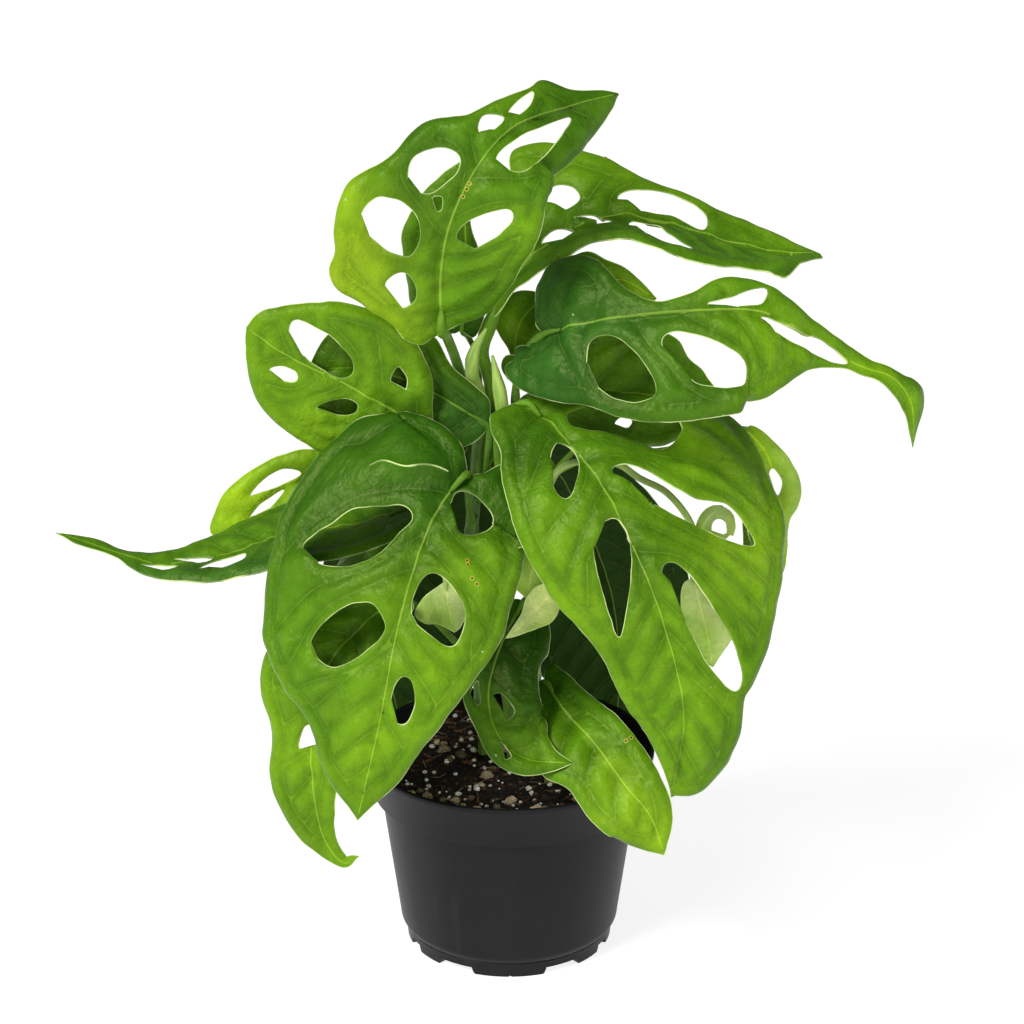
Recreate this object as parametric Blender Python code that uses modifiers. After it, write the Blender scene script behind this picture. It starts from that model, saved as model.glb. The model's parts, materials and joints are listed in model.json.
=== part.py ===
# A monstera adansonii in its black nursery pot.
# Sizes are millimetres, turned to metres as each shape is made. The pot's axis is x = y = 0 while
# the pieces are built, and the last step moves all of them so that the origin is the bottom
# centre of the whole plant's box.

import math
import random

import bmesh
import bpy
import numpy as np
from mathutils import Vector, geometry

MM = 0.001
GAP = 0.3  # between pieces that touch
MERGE = 0.00005  # points this close are one, in metres
TINY = 1e-9

# Pot
RIM_RADIUS = 75.0
RIM_WIDTH = 2.2  # how thick the rim is where the inner side starts down
RIM_LIP = 0.7  # how far down the rim's widest line lies
RIM_EDGE = 0.5  # rounding of the rim and of the band
POT_HEIGHT = 105.8
BAND_BOTTOM = 83.0  # height of the rim band's lower edge
BAND_BOTTOM_RADIUS = 70.2
WALL_TOP_RADIUS = 66.3
WALL_BOTTOM_RADIUS = 55.9
LEDGE = (1.2, 3.4)  # heights of the inner ledge over the band's lower edge
FOOT_HEIGHT = 7.4
FOOT_OPENING = 3.9  # height of the openings between the feet
FOOT_RADIUS = 53.8
FOOT_DEPTH = 5.0  # from a foot's outer face to its inner one
WALL_TURN = 6.4  # height over the feet where the wall starts to turn in towards them
RIDGE = 0.5  # how far the edge above the feet stands out, and half its height
WALL = 1.6
POT_STEPS = 48
FOOT_GAPS = [(21.0, 40.6), (60.2, 69.0)]  # degrees, on both sides of the front and the back foot's middle
FOOT_CUT = 6.0  # how far the cuts between the feet reach past their outer face, each way
DRAIN_RADIUS = 3.5
DRAIN_RING = 34.0
DRAIN_COUNT = 8
ROUND_STEPS = 12  # sides of the small round holes

# Soil
SOIL_EDGE = 97.0  # height of the soil at the wall
SOIL_MOUND = 2.5
SOIL_RINGS = (35.0, 60.0)  # radii where the mound's slope changes
GRAIN_SEED = 7
GRAIN_COUNT = 60
GRAIN_SIZES = (1.5, 1.9, 2.4, 3.4)  # radii
GRAIN_ROOM = 1.2  # how many times its radius a grain needs for itself
GRAIN_MARGIN = 3.0  # from the grains to the wall
GRAIN_ROUGHNESS = (0.85, 1.15)
GRAIN_FLATNESS = 0.8
GRAIN_RISE = 0.15  # how far a grain's middle stands above the soil, as a share of its radius

# Stems
STEM_RADIUS = 3.4
STEM_FOOT = 70.0  # height of the stems' lower ends, inside the soil
STEM_ROOM = 1.0  # round a stem, in its hole in the soil
STEM_STEP = 14.0  # distance between rings of a stem
STEM_TOPS = {"stem_left": 318, "stem_front": 304, "stem_right": 280}  # heights where they start to narrow
STEM_TIP_RADIUS = 0.7
STEM_BEVEL = 2  # the curve's bevel resolution, for an eight-sided stem
STEMS = {
    "stem_left": [(-13, 4, STEM_FOOT), (-13, 4, 112), (-17, -3, 165), (-19, -8, 220), (-14, -4, 288),
                  (-18, -6, 309), (-17, -9, 322), (-11, -10, 334)],
    "stem_front": [(2, -6, STEM_FOOT), (2, -6, 112), (-3, -12, 165), (-5, -12, 230), (-3, -10, 280),
                   (-4, -12, 299), (-8, -13, 321)],
    "stem_right": [(14, 10, STEM_FOOT), (14, 10, 112), (12, 5, 165), (8, 2, 230), (4, 4, 286), (4, 5, 306)],
}

# Leaves
BLADE = 0.8  # thickness
EDGE_STEP = 8.5  # distance between points on a leaf's edge
HOLE_STEP = 6.5
LEAST_HOLE_POINTS = 7
INNER_STEP = 19.0  # distance between points inside a blade
ROW_SHARE = 0.87  # of that step, from one row of points to the next
RIB_SHARE = 0.8  # of that step, along the midrib
EDGE_SHARE = 0.33  # of that step, the least distance to an edge
CURL_WIDTH = 50.0  # the distance from the midrib over which a curl angle is measured
CURVE_STEPS = 24  # points of a curve between two given ones
EDGE_CURVE_STEPS = 6
STALK_STEP = 11.0
STALK_RUN = 2.0  # how far past its own radius a stalk runs straight out of its stem
STALK_BEVEL = 1  # the curve's bevel resolution, for a six-sided stalk
STALK_OVERLAP = 12.0  # how far a stalk runs along under the midrib
STALK_TAPER = (0.8, 0.5)  # of its radius, at its last two points

# Each leaf is a flat pattern, bent along its midrib. In the pattern the first number runs along
# the midrib from the stalk and the second across it, to the right as seen with the stalk at the
# bottom and the upper face in view.
#   spine: the midrib in space
#   face: the way the upper face looks at the stalk, halfway and at the tip
#   curl: how far the left and right sides turn back, in degrees, at the same places
#   right, left: the edge from the stalk to the tip, on each side
#   holes: the holes between the side veins
#   stalk: the stem it grows from, how high up, and the points between
LEAVES = {
    "leaf_front_left": dict(
        spine=[(-20, -57, 276), (-29, -64, 269), (-40, -77, 252), (-52, -97, 217), (-62, -109, 168),
               (-73, -109, 117)],
        face=[(-0.1, -0.85, 0.6), (-0.1, -1, 0.4), (-0.15, -1, 0.1)],
        fold=[(0, 0), (-5, -5), (-5, -5)],
        curl=[(-15, -15), (-20, -20), (-15, -15)],
        right=[(-5, 5), (-10, 13), (-12, 24), (-10, 36), (-5, 47), (5, 54), (10, 64), (20, 70),
               (31, 74), (44, 77), (66, 77), (85, 76), (102, 73), (113, 66), (126, 55), (138, 41),
               (149, 31), (160, 26), (169, 17), (178, 6)],
        left=[(-5, -4), (-15, -8), (-20, -15), (-16, -25), (-6, -35), (8, -44), (30, -49), (56, -51),
              (71, -51), (85, -49), (98, -44), (112, -37), (128, -29), (143, -22), (158, -16),
              (172, -7)],
        holes=[
            [(57, 58), (50, 54), (44, 47), (37, 40), (32, 26), (28, 15), (32, 9), (41, 13), (51, 18),
             (58, 26), (62, 35), (62, 48)],
            [(100, 42), (92, 39), (85, 33), (77, 23), (76, 13), (85, 6), (94, 10), (103, 18),
             (109, 28), (106, 38)],
            [(75, -5), (66, -4), (57, -6), (53, -11), (56, -18), (62, -26), (70, -30), (82, -30),
             (87, -26), (84, -17), (79, -8)],
            [(17, -4), (8, -4), (4, -14), (6, -25), (18, -26), (27, -20), (28, -13)],
            [(118, -4), (107, -6), (107, -11), (116, -15), (127, -13), (128, -8)],
        ],
        stalk=("stem_left", 236, [(-20, -30, 256)], 1.9),
        green=(0.13, 0.32, 0.03),
    ),
    "leaf_front_right": dict(
        spine=[(7, -35, 305), (24, -52, 297), (43, -76, 280), (59, -95, 253), (73, -107, 219),
               (83, -113, 175), (78, -110, 130)],
        face=[(0.1, -0.45, 0.9), (0.1, -1, 0.45), (0.1, -1, 0.1)],
        fold=[(0, 0), (-5, -5), (-5, -5)],
        curl=[(-15, -15), (-20, -20), (-15, -15)],
        right=[(-3, 6), (-4, 17), (3, 24), (12, 28), (27, 36), (39, 41), (56, 46), (75, 48), (94, 47),
               (111, 44), (140, 34), (169, 29), (187, 23), (201, 14), (218, 4)],
        left=[(-1, -8), (4, -21), (15, -36), (26, -56), (35, -80), (46, -93), (60, -93), (91, -90),
              (111, -87), (131, -73), (147, -62), (161, -51), (174, -38), (181, -31), (194, -29), (203, -27),
              (213, -24), (225, -14)],
        holes=[
            [(37, 13), (31, 5), (37, 1), (48, 4), (60, 15), (59, 20), (50, 20)],
            [(80, 7), (82, 1), (92, 0), (107, 6), (120, 13), (136, 22), (120, 23), (104, 21), (89, 17)],
            [(60, -8), (58, -14), (64, -23), (85, -38), (95, -54), (106, -58), (118, -59), (111, -45),
             (96, -31), (80, -18)],
            [(20, -10), (29, -8), (44, -24), (57, -34), (57, -44), (50, -55), (40, -57), (30, -40),
             (21, -26)],
            [(113, -8), (111, -15), (122, -21), (149, -29), (170, -31), (175, -25), (160, -15), (137, -10)],
        ],
        stalk=("stem_front", 258, [(-5, -25, 286)], 1.9),
        green=(0.15, 0.36, 0.03),
    ),
    "leaf_top_left": dict(
        spine=[(-32, -40, 342), (-32, -50, 373), (-27, -54, 400), (-14, -50, 426), (3, -40, 442),
               (29, -22, 447), (53, -5, 449)],
        face=[(0, -1, 0.35), (0, -1, 0.35), (0, -0.9, 0.45)],
        fold=[(5, 5), (0, 0), (-10, -10)],
        curl=[(-10, -5), (-15, -10), (-25, -25)],
        left=[(-3, -2), (-8, -9), (-5, -17), (6, -25), (16, -38), (22, -49), (29, -53), (36, -51),
              (46, -53), (60, -52), (74, -39), (92, -33), (106, -18), (129, -14), (142, -17), (155, -7),
              (169, -4)],
        right=[(1, 4), (10, 22), (22, 31), (40, 37), (60, 41), (80, 40), (96, 36), (114, 34),
               (136, 27), (152, 20), (164, 12)],
        holes=[
            [(71, -26), (80, -27), (88, -17), (88, -9), (81, -7), (70, -12), (67, -19)],
            [(52, -41), (60, -34), (59, -18), (50, -12), (40, -15), (41, -25), (46, -36)],
            [(26, -26), (32, -18), (27, -12), (19, -12), (15, -19)],
            [(52, 5), (63, 8), (77, 21), (74, 26), (60, 22), (49, 13)],
            [(97, 5), (124, 6), (146, 5), (139, 12), (123, 19), (103, 19), (96, 12)],
            [(102, -9), (108, -13), (114, -6), (106, -5)],
            [(117, -7), (132, -12), (127, -6), (120, -4)],
            [(67, -12), (69, -8), (64, -6), (62, -9)],
        ],
        stalk=("stem_left", 280, [(-23, 1, 302), (-26, -4, 316), (-30, -20, 333)], 2.6),
        green=(0.17, 0.38, 0.03),
    ),
    "leaf_right_folded": dict(
        spine=[(15, -30, 337), (34, -42, 347), (57, -50, 353), (90, -54, 357), (118, -52, 356),
               (142, -48, 343), (165, -45, 327), (182, -43, 320), (192, -42, 306), (195, -42, 284)],
        face=[(0.1, -0.8, 0.6), (0.1, -0.8, 0.6), (0.6, -0.7, 0.5)],
        fold=[(0, 0), (0, 0), (0, 0)],
        curl=[(-10, -10), (-10, -10), (-10, -10)],
        left=[(-3, -6), (-3, -18), (-1, -29), (8, -36), (22, -36), (33, -31), (45, -17), (57, -8),
              (67, -6), (79, -9), (94, -16), (112, -15), (142, -8), (168, -7), (180, -5), (190, -6),
              (196, -10), (202, -12), (208, -9), (216, -4), (223, -1)],
        right=[(-7, 2), (-15, 2), (-19, 8), (-23, 11), (-19, 20), (-8, 28), (8, 36), (28, 42),
               (44, 49), (64, 53), (96, 51), (115, 45), (130, 40), (147, 16), (163, 5), (176, 4),
               (184, 5), (194, 6), (204, 5), (212, 3), (219, 2)],
        holes=[
            [(27, 20), (30, 10), (41, 9), (52, 19), (60, 33), (58, 41), (45, 41), (32, 32)],
            [(65, 16), (70, 10), (85, 14), (104, 25), (105, 36), (89, 38), (77, 33)],
            [(87, -3), (100, -6), (113, -12), (112, -4), (100, -2)],
            [(114, 2), (129, 1), (150, -1), (163, 1), (154, 6), (137, 7), (121, 7)],
        ],
        stalk=("stem_right", 284, [(3, -9, 300), (7, -19, 322)], 1.9),
        green=(0.05, 0.2, 0.03),
    ),
    "leaf_left_raised": dict(
        spine=[(-37, -21, 284), (-58, -24, 297), (-81, -26, 311), (-105, -25, 323), (-127, -18, 337)],
        face=[(-0.1, -1, 0.05), (-0.1, -1, 0.05), (-0.1, -1, 0.05)],
        fold=[(5, 5), (0, 0), (0, 0)],
        curl=[(-12, -12), (-15, -15), (-15, -15)],
        right=[(3, 5), (8, 13), (15, 24), (26, 33), (38, 38), (50, 40), (61, 38), (71, 36), (82, 31),
               (91, 25), (99, 17), (105, 9)],
        left=[(3, -7), (12, -19), (27, -32), (38, -38), (50, -39), (65, -37), (78, -32), (88, -25),
              (95, -17), (102, -7)],
        holes=[
            [(87, 11), (87, 18), (74, 20), (62, 18), (53, 13), (50, 6), (54, 1), (65, 2), (76, 5)],
            [(85, -11), (81, -6), (74, -5), (72, -9), (78, -12)],
            [(57, -17), (54, -12), (46, -6), (40, -6), (39, -11), (47, -16)],
            [(32, 13), (33, 21), (26, 18), (24, 12)],
        ],
        stalk=("stem_left", 254, [(-26, -24, 269)], 1.7),
        green=(0.14, 0.34, 0.03),
    ),
    "leaf_left_behind": dict(
        spine=[(-10, -16, 285), (-29, -15, 298), (-53, -12, 309), (-77, -11, 314), (-99, -11, 312)],
        face=[(-0.1, -1, 0.2), (-0.1, -1, 0.2)],
        fold=[(0, 0), (0, 0)],
        curl=[(-5, -5), (-8, -8)],
        right=[(2, 5), (9, 12), (22, 14), (32, 17), (42, 25), (53, 26), (66, 24), (77, 20), (85, 16),
               (91, 8)],
        left=[(1, -8), (8, -20), (31, -29), (56, -33), (87, -28), (97, -14)],
        holes=[],
        stalk=("stem_left", 246, [(-11, -14, 268)], 1.5),
        green=(0.09, 0.27, 0.04),
    ),
    "leaf_left_long": dict(
        spine=[(-48, -12, 242), (-79, -16, 236), (-110, -20, 233), (-143, -23, 222), (-173, -23, 216),
               (-196, -20, 221), (-225, -16, 230)],
        face=[(0, -0.15, 1), (0, -0.15, 1), (0, -0.3, 1)],
        fold=[(0, 0), (0, 0)],
        curl=[(-8, -8), (-8, -8)],
        right=[(-4, 8), (5, 18), (28, 30), (45, 33), (60, 32), (76, 26), (95, 22), (120, 15),
               (138, 9), (151, 5), (163, 6), (175, 3)],
        left=[(-3, -9), (7, -19), (23, -27), (42, -30), (60, -31), (78, -29), (96, -24), (113, -18),
              (128, -12), (139, -8), (152, -3), (171, -3)],
        holes=[
            [(122, 4), (112, 3), (102, 0), (112, -1)],
            [(109, -9), (99, -4), (87, -6), (87, -12), (99, -13)],
            [(138, -3), (130, -1), (120, -2), (129, -5)],
            [(56, 14), (44, 20), (32, 18), (42, 13)],
        ],
        stalk=("stem_left", 205, [(-34, -12, 228)], 1.6),
        green=(0.07, 0.24, 0.05),
    ),
    "leaf_left_pale": dict(
        spine=[(-81, 26, 252), (-106, 24, 244), (-127, 22, 231), (-145, 20, 212)],
        face=[(-0.2, -1, 0.1), (-0.2, -1, 0.1)],
        fold=[(0, 0), (0, 0)],
        curl=[(-10, -10), (-10, -10)],
        right=[(2, 5), (12, 10), (20, 13), (32, 15), (46, 16), (59, 16), (72, 13), (80, 8)],
        left=[(-2, -10), (-2, -27), (3, -38), (16, -41), (42, -32), (64, -19), (74, -7)],
        holes=[
            [(52, 6), (43, 8), (32, 8), (25, 2), (34, 1), (45, 3)],
            [(60, -2), (50, -1), (37, -2), (50, -5)],
        ],
        stalk=("stem_left", 222, [(-42, 10, 246)], 1.4),
        green=(0.24, 0.42, 0.08),
    ),
    "leaf_upper_right": dict(
        spine=[(-9, 5, 336), (6, 8, 359), (25, 12, 376), (49, 15, 385), (79, 15, 381), (108, 12, 372),
               (132, 8, 368), (153, 5, 367)],
        face=[(-0.3, -0.3, 1), (0, -0.2, 1), (0, -0.2, 1)],
        fold=[(30, 0), (30, 0), (10, 10)],
        curl=[(0, 0), (0, 0)],
        left=[(4, -5), (16, -8), (28, -11), (38, -14), (45, -24), (50, -42), (55, -54), (66, -50),
              (79, -36), (95, -24), (115, -19), (145, -17), (165, -12), (178, -5)],
        right=[(2, 4), (15, 6), (30, 12), (46, 18), (65, 21), (82, 26), (97, 30), (113, 34),
               (131, 33), (149, 29), (162, 25), (170, 35), (176, 15)],
        holes=[
            [(56, -19), (62, -25), (68, -20), (68, -12), (60, -11)],
            [(84, -9), (90, -14), (105, -16), (124, -11), (126, -2), (109, -4), (94, -4)],
            [(63, -4), (74, -1), (80, 8), (70, 4)],
            [(89, 12), (92, 5), (101, 5), (112, 16), (124, 22), (110, 25), (97, 20)],
            [(43, -2), (52, -4), (60, 2), (51, 4)],
        ],
        stalk=("stem_front", 262, [(-9, 0, 300), (-13, 4, 318)], 3.2),
        green=(0.08, 0.26, 0.02),
    ),
    "leaf_lower_left": dict(
        spine=[(-53, -50, 209), (-70, -60, 200), (-88, -66, 181), (-96, -70, 155), (-97, -72, 124),
               (-93, -72, 93), (-83, -72, 76), (-74, -74, 80)],
        face=[(-0.3, -0.9, 0.6), (-0.3, -1, 0.2), (-0.2, -1, 0.3)],
        fold=[(0, 0), (0, 0)],
        curl=[(-10, -10), (-15, -15)],
        right=[(-4, 6), (8, 12), (18, 17), (36, 25), (55, 32), (72, 30), (84, 23), (97, 22),
               (115, 23), (135, 16), (150, 7), (163, 2)],
        left=[(-3, -7), (8, -14), (20, -21), (40, -28), (62, -28), (86, -22), (107, -14), (130, -9),
              (150, -5), (164, -3)],
        holes=[[(95, 6), (84, 4), (83, -2), (92, -4)]],
        stalk=("stem_left", 160, [(-38, -32, 190)], 1.6),
        green=(0.1, 0.29, 0.05),
    ),
    "leaf_curled_front": dict(
        spine=[(8, -20, 196), (-3, -40, 182), (-10, -58, 163), (-6, -68, 145), (8, -74, 134),
               (32, -76, 132)],
        face=[(0, -0.8, 0.7), (0, -0.9, 0.5), (0, -0.8, 0.7)],
        fold=[(0, 0), (0, 0)],
        curl=[(-10, -10), (-10, -10), (-20, -20)],
        left=[(-2, -5), (7, -17), (21, -23), (34, -22), (49, -25), (75, -26), (101, -23), (105, -13),
              (110, -6)],
        right=[(4, 6), (24, 8), (41, 9), (55, 13), (71, 9), (89, 10), (107, 5)],
        holes=[
            [(56, -3), (57, -8), (67, -12), (71, -7)],
            [(56, 9), (50, 6), (59, 4), (61, 7)],
            [(80, 1), (88, 2), (86, 6)],
        ],
        stalk=("stem_front", 150, [(4, -15, 180)], 1.5),
        green=(0.09, 0.27, 0.03),
    ),
    "leaf_droop_front": dict(
        spine=[(18, -31, 156), (28, -50, 148), (42, -70, 140), (56, -84, 125), (69, -92, 111),
               (76, -93, 90)],
        face=[(0, -0.8, 0.7), (0, -1, 0.4), (0, -1, 0.3)],
        fold=[(5, 5), (0, 0), (0, 0)],
        curl=[(5, 5), (-10, -10), (-15, -15)],
        left=[(-5, -2), (-9, -7), (1, -11), (21, -15), (42, -17), (57, -18), (72, -18), (87, -15),
              (98, -10), (108, -5)],
        right=[(-2, 4), (8, 9), (22, 23), (32, 29), (47, 29), (60, 24), (80, 24), (102, 19), (111, 9)],
        holes=[],
        stalk=("stem_front", 122, [(9, -22, 142)], 1.5),
        green=(0.15, 0.36, 0.04),
    ),
    "leaf_right_pale": dict(
        spine=[(116, -15, 284), (126, -19, 272), (133, -23, 252), (134, -25, 229), (136, -26, 212)],
        face=[(0.3, -0.9, 0.3), (0.3, -0.9, 0.3)],
        fold=[(0, 0), (0, 0)],
        curl=[(-10, -10), (-10, -10)],
        left=[(1, -4), (14, -8), (24, -11), (35, -13), (44, -10), (51, -5), (62, -4), (73, -2)],
        right=[(3, 4), (19, 10), (39, 11), (57, 8), (70, 5)],
        holes=[[(26, 2), (24, -1), (32, -3), (38, 0), (33, 2)]],
        stalk=("stem_right", 250, [(45, -13, 271), (74, -13, 272), (99, -13, 278)], 1.5),
        green=(0.2, 0.4, 0.05),
    ),
    "leaf_right_behind": dict(
        spine=[(19, 12, 319), (35, 10, 341), (53, 6, 354), (72, 0, 346)],
        face=[(0, -1, 0.2), (0, -1, 0.2)],
        fold=[(0, 0), (0, 0)],
        curl=[(-10, -10), (-10, -10)],
        left=[(1, -4), (7, -7), (22, -15), (34, -20), (43, -18), (48, -10), (55, -5), (66, -2)],
        right=[(4, 7), (23, 16), (45, 15), (65, 13)],
        holes=[],
        stalk=("stem_right", 276, [(14, 11, 302)], 1.4),
        green=(0.16, 0.36, 0.04),
    ),
    "leaf_centre_dark": dict(
        spine=[(18, 28, 337), (9, 23, 332), (4, 19, 323), (2, 16, 307)],
        face=[(0, -0.8, 0.6), (0, -0.9, 0.4)],
        fold=[(0, 0), (0, 0)],
        curl=[(-10, -10), (-10, -10)],
        right=[(1, 6), (9, 12), (19, 15), (25, 9), (32, 3)],
        left=[(-2, -6), (3, -14), (14, -16), (25, -13), (32, -4)],
        holes=[],
        stalk=("stem_right", 264, [(20, 26, 298), (25, 32, 322)], 1.3),
        green=(0.07, 0.22, 0.02),
    ),
    "leaf_top_behind": dict(
        spine=[(-23, 2, 329), (-21, 0, 350), (-21, 0, 376), (-22, 0, 396), (-22, 2, 415)],
        face=[(0, -1, 0.3), (0, -1, 0.3)],
        fold=[(0, 0), (0, 0)],
        curl=[(-10, -10), (-10, -10)],
        left=[(-2, -5), (0, -14), (8, -26), (23, -29), (40, -31), (52, -31), (66, -23), (78, -12)],
        right=[(-3, 6), (7, 10), (22, 10), (39, 7), (54, 3), (69, 4), (79, 3)],
        holes=[],
        stalk=("stem_left", 268, [(-14, 9, 292), (-16, 11, 312), (-20, 8, 324)], 1.3),
        green=(0.06, 0.22, 0.03),
    ),
    "leaf_right_under": dict(
        spine=[(11, 0, 298), (40, -3, 298), (69, -4, 298), (94, -3, 292), (104, -3, 289)],
        face=[(0, -1, 0.1), (0, -1, 0.1)],
        fold=[(0, 0), (0, 0)],
        curl=[(-5, -10), (-5, -10)],
        left=[(-5, -2), (-12, -6), (-15, -12), (-13, -18), (-4, -19), (10, -25), (25, -32), (45, -35),
              (58, -32), (67, -29), (72, -22), (81, -17), (90, -9)],
        right=[(-5, 3), (-8, 8), (-4, 13), (4, 15), (14, 17), (29, 23), (45, 29), (70, 26), (83, 16)],
        holes=[[(41, 15), (45, 12), (50, 14), (46, 18)]],
        stalk=("stem_right", 258, [(13, -1, 280)], 1.4),
        green=(0.1, 0.3, 0.03),
    ),
    "leaf_young_left": dict(
        spine=[(-31, -38, 213), (-30, -42, 202), (-27, -44, 188)],
        face=[(0, -0.9, 0.5), (0, -1, 0.3)],
        fold=[(10, 10), (10, 10)],
        curl=[(20, 20), (20, 20)],
        left=[(5, -5), (12, -8), (18, -8), (24, -4)],
        right=[(3, 5), (8, 13), (13, 17), (18, 13), (21, 6)],
        holes=[],
        stalk=("stem_left", 180, [(-27, -14, 198), (-32, -28, 215)], 1.2),
        green=(0.42, 0.58, 0.22),
    ),
    "leaf_young_front": dict(
        spine=[(23, -36, 208), (11, -43, 196), (-2, -47, 186)],
        face=[(0, -0.8, 0.6), (0, -0.8, 0.6)],
        fold=[(15, 15), (15, 15)],
        curl=[(20, 20), (20, 20)],
        left=[(-1, -4), (6, -8), (14, -9), (22, -6)],
        right=[(-1, 4), (6, 8), (14, 8), (22, 4)],
        holes=[],
        stalk=("stem_right", 172, [(22, -10, 192), (26, -26, 206)], 1.1),
        green=(0.4, 0.56, 0.2),
    ),
    "leaf_young_centre": dict(
        spine=[(16, -15, 230), (12, -22, 215), (9, -28, 199)],
        face=[(0, -0.9, 0.4), (0, -0.9, 0.4)],
        fold=[(10, 10), (10, 10)],
        curl=[(10, 10), (10, 10)],
        left=[(-2, -4), (6, -9), (16, -11), (26, -8)],
        right=[(-2, 5), (6, 11), (16, 14), (26, 12), (31, 6)],
        holes=[],
        stalk=("stem_right", 196, [(14, -8, 220)], 1.1),
        green=(0.16, 0.36, 0.05),
    ),
    "leaf_young_right": dict(
        spine=[(90, -52, 220), (93, -54, 207), (97, -55, 191), (100, -55, 174)],
        face=[(0, -1, 0.3), (0, -1, 0.3)],
        fold=[(10, 10), (10, 10)],
        curl=[(25, 25), (25, 25)],
        left=[(3, -5), (11, -7), (20, -11), (30, -13), (40, -6)],
        right=[(1, 5), (9, 9), (18, 10), (31, 11), (41, 7)],
        holes=[],
        stalk=("stem_right", 226,
               [(25, -10, 261), (50, -22, 269), (64, -34, 265), (77, -41, 260), (88, -47, 247),
                (91, -51, 232)],
               1.7),
        green=(0.38, 0.54, 0.2),
    ),
    "leaf_young_loop": dict(
        spine=[(93, -42, 239), (96, -43, 247), (103, -44, 255)],
        face=[(0, -1, 0.2), (0, -1, 0.2)],
        fold=[(0, 0), (0, 0)],
        curl=[(10, 10), (10, 10)],
        left=[(3, -3), (10, -4), (16, -3)],
        right=[(-2, 6), (0, 12), (8, 15), (16, 13), (20, 6)],
        holes=[[(4, 5), (12, 4), (14, 8), (8, 12), (3, 10)]],
        stalk=("stem_right", 212, [(32, -7, 246), (57, -24, 248), (75, -36, 244), (86, -42, 237)], 1.1),
        green=(0.4, 0.56, 0.22),
    ),
    "leaf_side_left": dict(
        spine=[(-62, 12, 208), (-88, 17, 194), (-104, 21, 164), (-108, 22, 118)],
        face=[(-0.6, 0, 0.8), (-1, 0.1, 0.4), (-1, 0.1, 0.1)],
        fold=[(0, 0), (0, 0)],
        curl=[(-10, -10), (-15, -15)],
        left=[(-6, -5), (-5, -14), (12, -23), (34, -26), (56, -24), (78, -18), (98, -9)],
        right=[(-6, 5), (-4, 14), (14, 22), (36, 24), (58, 22), (80, 16), (98, 8)],
        holes=[
            [(30, -8), (42, -8), (46, -16), (34, -18)],
            [(52, 7), (64, 7), (66, 14), (54, 15)],
        ],
        stalk=("stem_left", 186, [(-36, 6, 202)], 1.4),
        green=(0.1, 0.28, 0.04),
    ),
    "leaf_side_right": dict(
        spine=[(95, 20, 262), (117, 28, 240), (127, 32, 205), (124, 34, 150)],
        face=[(0.6, 0, 0.8), (1, 0.1, 0.4), (1, 0.1, 0.1)],
        fold=[(0, 0), (0, 0)],
        curl=[(-10, -10), (-15, -15)],
        left=[(-6, -5), (-4, -13), (14, -20), (38, -23), (64, -22), (90, -16), (112, -8)],
        right=[(-6, 5), (-5, 14), (12, 22), (36, 25), (62, 23), (88, 17), (111, 8)],
        holes=[
            [(34, 8), (46, 8), (50, 16), (38, 17)],
            [(58, -7), (70, -7), (72, -14), (60, -15)],
        ],
        stalk=("stem_right", 244, [(40, 14, 268), (70, 17, 272)], 1.4),
        green=(0.1, 0.28, 0.04),
    ),
    "leaf_rear_left": dict(
        spine=[(-20, 30, 262), (-44, 55, 220), (-62, 72, 180), (-68, 80, 136), (-63, 82, 100), (-58, 82, 74)],
        face=[(0, 0.3, 0.9), (0, 0.9, 0.6), (0, 1, 0.1)],
        fold=[(0, 0), (0, 0)],
        curl=[(-15, -15), (-15, -15)],
        left=[(-8, -6), (-10, -18), (2, -31), (30, -38), (60, -38), (90, -37), (120, -36), (150, -34),
              (176, -26), (197, -12)],
        right=[(-6, 7), (-2, 18), (20, 27), (45, 36), (70, 46), (95, 53), (122, 56), (148, 50), (174, 34),
               (198, 14)],
        holes=[
            [(86, 12), (97, 13), (99, 25), (89, 25)],
            [(108, -8), (118, -9), (120, -20), (110, -20)],
        ],
        stalk=("stem_left", 230, [(-18, 14, 252)], 1.6),
        green=(0.06, 0.2, 0.03),
    ),
    "leaf_rear_right": dict(
        spine=[(16, 30, 262), (36, 62, 216), (54, 86, 160), (60, 94, 110), (58, 92, 66)],
        face=[(0, 0.3, 0.9), (0, 0.9, 0.6), (0, 1, 0.1)],
        fold=[(0, 0), (0, 0)],
        curl=[(-15, -15), (-15, -15)],
        left=[(-6, -7), (-2, -15), (20, -22), (48, -30), (85, -41), (125, -46), (160, -47),
              (184, -40), (206, -18)],
        right=[(-8, 8), (-10, 20), (2, 31), (30, 39), (60, 44), (90, 46), (120, 44), (150, 38),
               (175, 29), (200, 14)],
        holes=[
            [(88, 19), (102, 20), (107, 31), (94, 33)],
            [(60, -10), (74, -11), (78, -22), (66, -21)],
        ],
        stalk=("stem_right", 236, [(12, 18, 254)], 1.6),
        green=(0.06, 0.2, 0.03),
    ),
}


def clear_scene():
    for obj in list(bpy.data.objects):
        bpy.data.objects.remove(obj, do_unlink=True)


def new_collection(name):
    collection = bpy.data.collections.new(name)
    bpy.context.scene.collection.children.link(collection)
    return collection


def material(name, colour, roughness):
    made = bpy.data.materials.new(name)
    made.use_nodes = True
    shader = made.node_tree.nodes["Principled BSDF"]
    shader.inputs["Base Color"].default_value = (*colour, 1)
    shader.inputs["Roughness"].default_value = roughness
    shader.inputs["Metallic"].default_value = 0
    return made


def mesh_object(name, mesh, collection, made=None):
    obj = bpy.data.objects.new(name, mesh)
    collection.objects.link(obj)
    if made:
        mesh.materials.append(made)
    return obj


def as_helper(obj):
    obj.hide_render = True
    obj.display_type = "WIRE"
    return obj


def bmesh_to_mesh(name, bm):
    mesh = bpy.data.meshes.new(name)
    bm.to_mesh(mesh)
    bm.free()
    return mesh


def boolean(obj, other, operation):
    modifier = obj.modifiers.new(other.name, "BOOLEAN")
    modifier.operation = operation
    modifier.object = other
    modifier.solver = "EXACT"


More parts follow.
